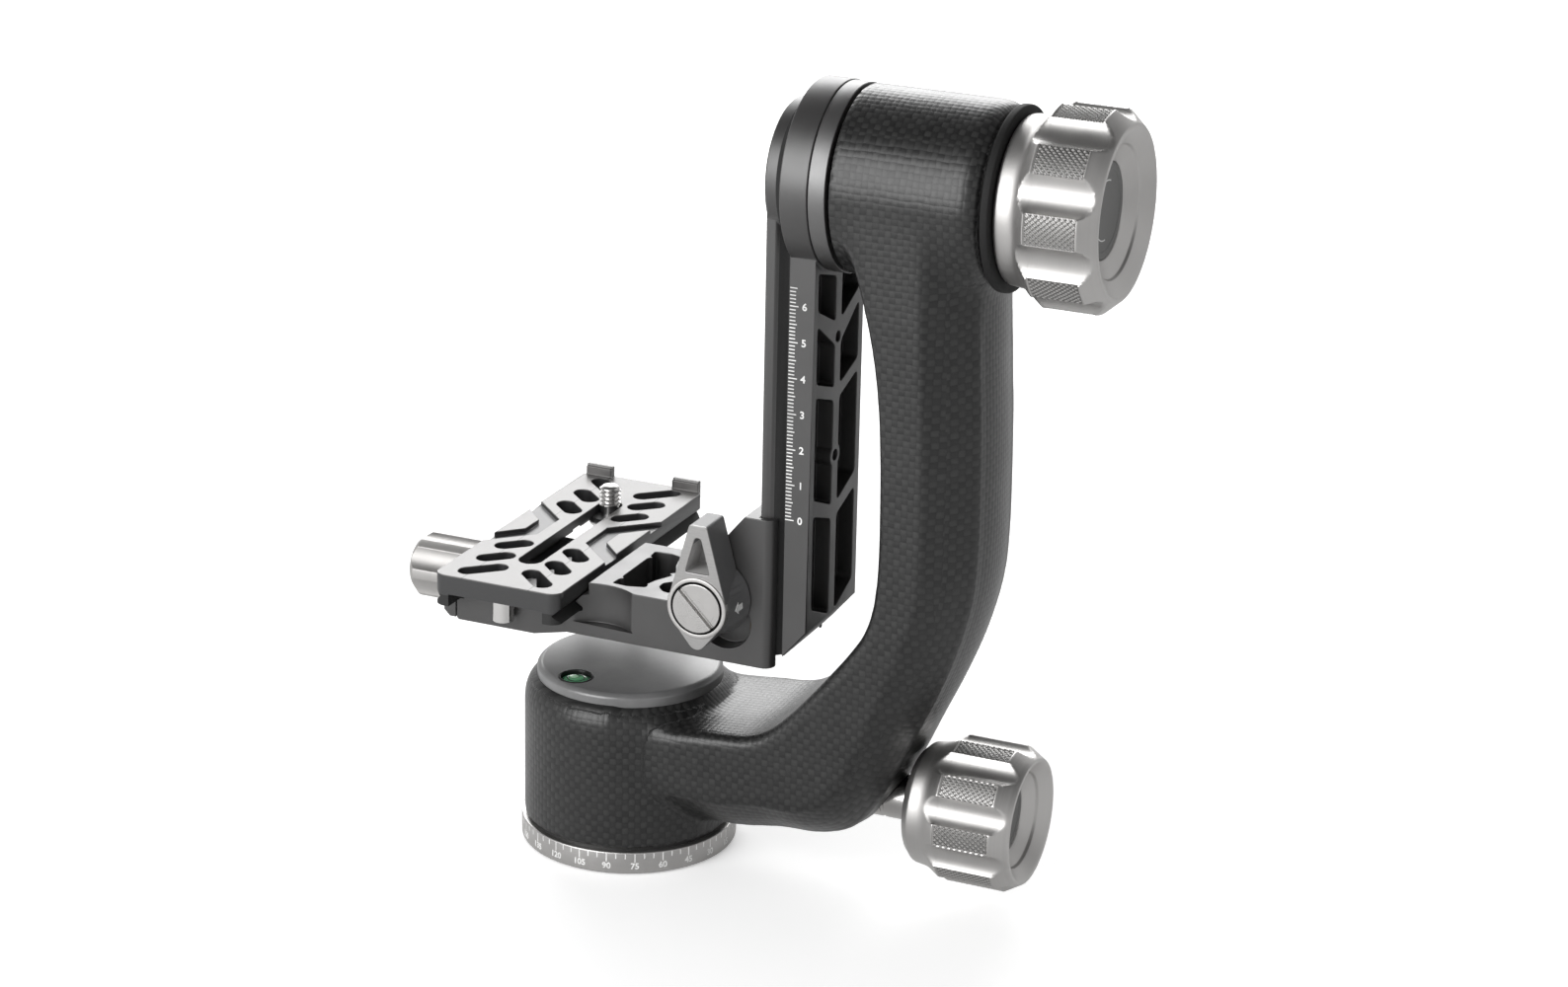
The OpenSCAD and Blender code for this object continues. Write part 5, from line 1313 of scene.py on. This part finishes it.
class TRIPODHEAD_OT_studio(bpy.types.Operator):
    """Sets up the white floor, the soft lamps and the camera"""
    bl_idname = "tripodhead.studio"
    bl_label = "Studio and camera"

    def execute(self, context):
        settings = context.scene.tripodhead_studio
        scene = context.scene
        scene.view_settings.view_transform = "Standard"
        half, below = 4000.0, 0.4
        floor = new_piece("studio_floor", half * np.array([
            [-1, -1, 0], [1, -1, 0], [1, 1, 0], [-1, 1, 0]]) - [0, 0, below], [[0, 1, 2, 3]])
        floor.data.materials.append(self.floor_paint(tuple(settings.floor)))
        self.room(scene)
        aim = (0.03, 0.0, 0.13)
        # Name, azimuth and rise in degrees, distance and size in metres, radiance
        for name, azimuth, rise, far, size, radiance in (
                ("key_softbox", -112.0, 22.0, 1.1, (0.80, 0.90), settings.key),
                ("back_softbox", 115.0, 27.0, 1.3, (1.30, 0.75), settings.back)):
            a, e = math.radians(azimuth), math.radians(rise)
            way = (math.cos(e) * math.cos(a), math.cos(e) * math.sin(a), math.sin(e))
            place = [c + far * d for c, d in zip(aim, way)]
            lamp(name, place, aim, size, radiance * math.pi * size[0] * size[1])
        self.camera(scene, settings.lens)
        return {"FINISHED"}

    def floor_paint(self, pale):
        """Pale floor that keeps the shadow. A glow makes its light part white to straight
        views, and mirrored ones see it greyer."""
        paint = Paint("studio_floor")
        grain = paint.noise(paint.place()[0], 0.02)
        path = paint.node("ShaderNodeLightPath")
        mirrored = path.sibling("Is Glossy Ray")
        tone = paint.blend(mirrored, paint.blend(grain, shaded(pale, 0.995), pale), (0.60, 0.60, 0.60))
        plain = paint.node("ShaderNodeBsdfDiffuse", None, {"Color": tone})
        glow = paint.node("ShaderNodeEmission", None,
                          {"Color": (1, 1, 1), "Strength": path * 0.36 + mirrored * 0.10})
        return paint.close(paint.node("ShaderNodeAddShader", None, {0: plain, 1: glow}))

    def room(self, scene):
        """Soft white room. Straight views see plain white. Mirrored ones see it pale round
        the horizon, with a dim ceiling above. Matt surfaces get an even light."""
        world = bpy.data.worlds.new("studio_room")
        world.use_nodes = True
        scene.world = world
        paint = Paint("studio_room", world.node_tree)
        path = paint.node("ShaderNodeLightPath")
        straight = path.highest(path.sibling("Is Transmission Ray"))
        mirrored = path.sibling("Is Glossy Ray")
        height = paint.parts(paint.node("ShaderNodeTexCoord"))[2]
        horizon, ceiling, even = 0.75, 0.12, 0.42
        walls = paint.ramp(height, 0.22, 0.72, horizon, ceiling)
        strength = straight + (1 - straight) * (mirrored * walls + (1 - mirrored) * even)
        paint.close(paint.node("ShaderNodeBackground", None, {"Color": (1, 1, 1), "Strength": strength}),
                    "ShaderNodeOutputWorld")

    def camera(self, scene, lens):
        """Camera from its place in metres, its turn round Z, its dip and its roll."""
        place = (0.44271, -0.91382, 0.46896)
        yaw, dip, roll = (math.radians(a) for a in (23.457, 19.826, 1.2504))
        ahead = np.array([-math.sin(yaw) * math.cos(dip), math.cos(yaw) * math.cos(dip), -math.sin(dip)])
        right = np.array([math.cos(yaw), math.sin(yaw), 0.0])
        up = np.cross(right, ahead)
        c, s = math.cos(roll), math.sin(roll)
        matrix = np.eye(4)
        matrix[:3, :3] = np.stack([c * right + s * up, c * up - s * right, -ahead], 1)
        matrix[:3, 3] = place
        data = bpy.data.cameras.new("photo_camera")
        data.sensor_width = 36.0
        data.lens = lens
        data.clip_end = 50.0
        camera = add_piece("photo_camera", data)
        camera.matrix_world = Matrix(matrix.tolist())
        scene.camera = camera


# Panel and run


class TRIPODHEAD_PT_panel(bpy.types.Panel):
    """Sidebar panel of the tripod head"""
    bl_idname = "TRIPODHEAD_PT_panel"
    bl_label = "Tripod head"
    bl_space_type = "VIEW_3D"
    bl_region_type = "UI"
    bl_category = "Tripod head"

    def draw(self, context):
        column = self.layout.column(align=True)
        for operator in OPERATORS:
            column.operator(operator.bl_idname)
        for group in GROUPS:
            box = self.layout.box()
            settings = getattr(context.scene, group)
            for name in settings.bl_rna.properties.keys():
                if name not in ("rna_type", "name"):
                    box.prop(settings, name)


GROUPS = {"tripodhead_shell": TripodHeadShell, "tripodhead_metals": TripodHeadMetals,
          "tripodhead_knobs": TripodHeadKnobs, "tripodhead_marks": TripodHeadMarks,
          "tripodhead_studio": TripodHeadStudio}
OPERATORS = (TRIPODHEAD_OT_studio, TRIPODHEAD_OT_arm, TRIPODHEAD_OT_knobs, TRIPODHEAD_OT_base,
             TRIPODHEAD_OT_rail, TRIPODHEAD_OT_cradle, TRIPODHEAD_OT_lever, TRIPODHEAD_OT_plate,
             TRIPODHEAD_OT_marks, TRIPODHEAD_OT_finishes)


def register():
    """Adds the settings, the operators and the panel."""
    for group, kind in GROUPS.items():
        bpy.utils.register_class(kind)
        setattr(bpy.types.Scene, group, PointerProperty(type=kind))
    for kind in (*OPERATORS, TRIPODHEAD_PT_panel):
        bpy.utils.register_class(kind)


def unregister():
    """Takes the operators, the panel and the settings away."""
    for kind in (TRIPODHEAD_PT_panel, *reversed(OPERATORS)):
        bpy.utils.unregister_class(kind)
    for group, kind in reversed(list(GROUPS.items())):
        delattr(bpy.types.Scene, group)
        bpy.utils.unregister_class(kind)


def main():
    """Builds everything in order."""
    register()
    for operator in OPERATORS:
        group, name = operator.bl_idname.split(".")
        getattr(getattr(bpy.ops, group), name)()


if __name__ == "__main__":
    main()
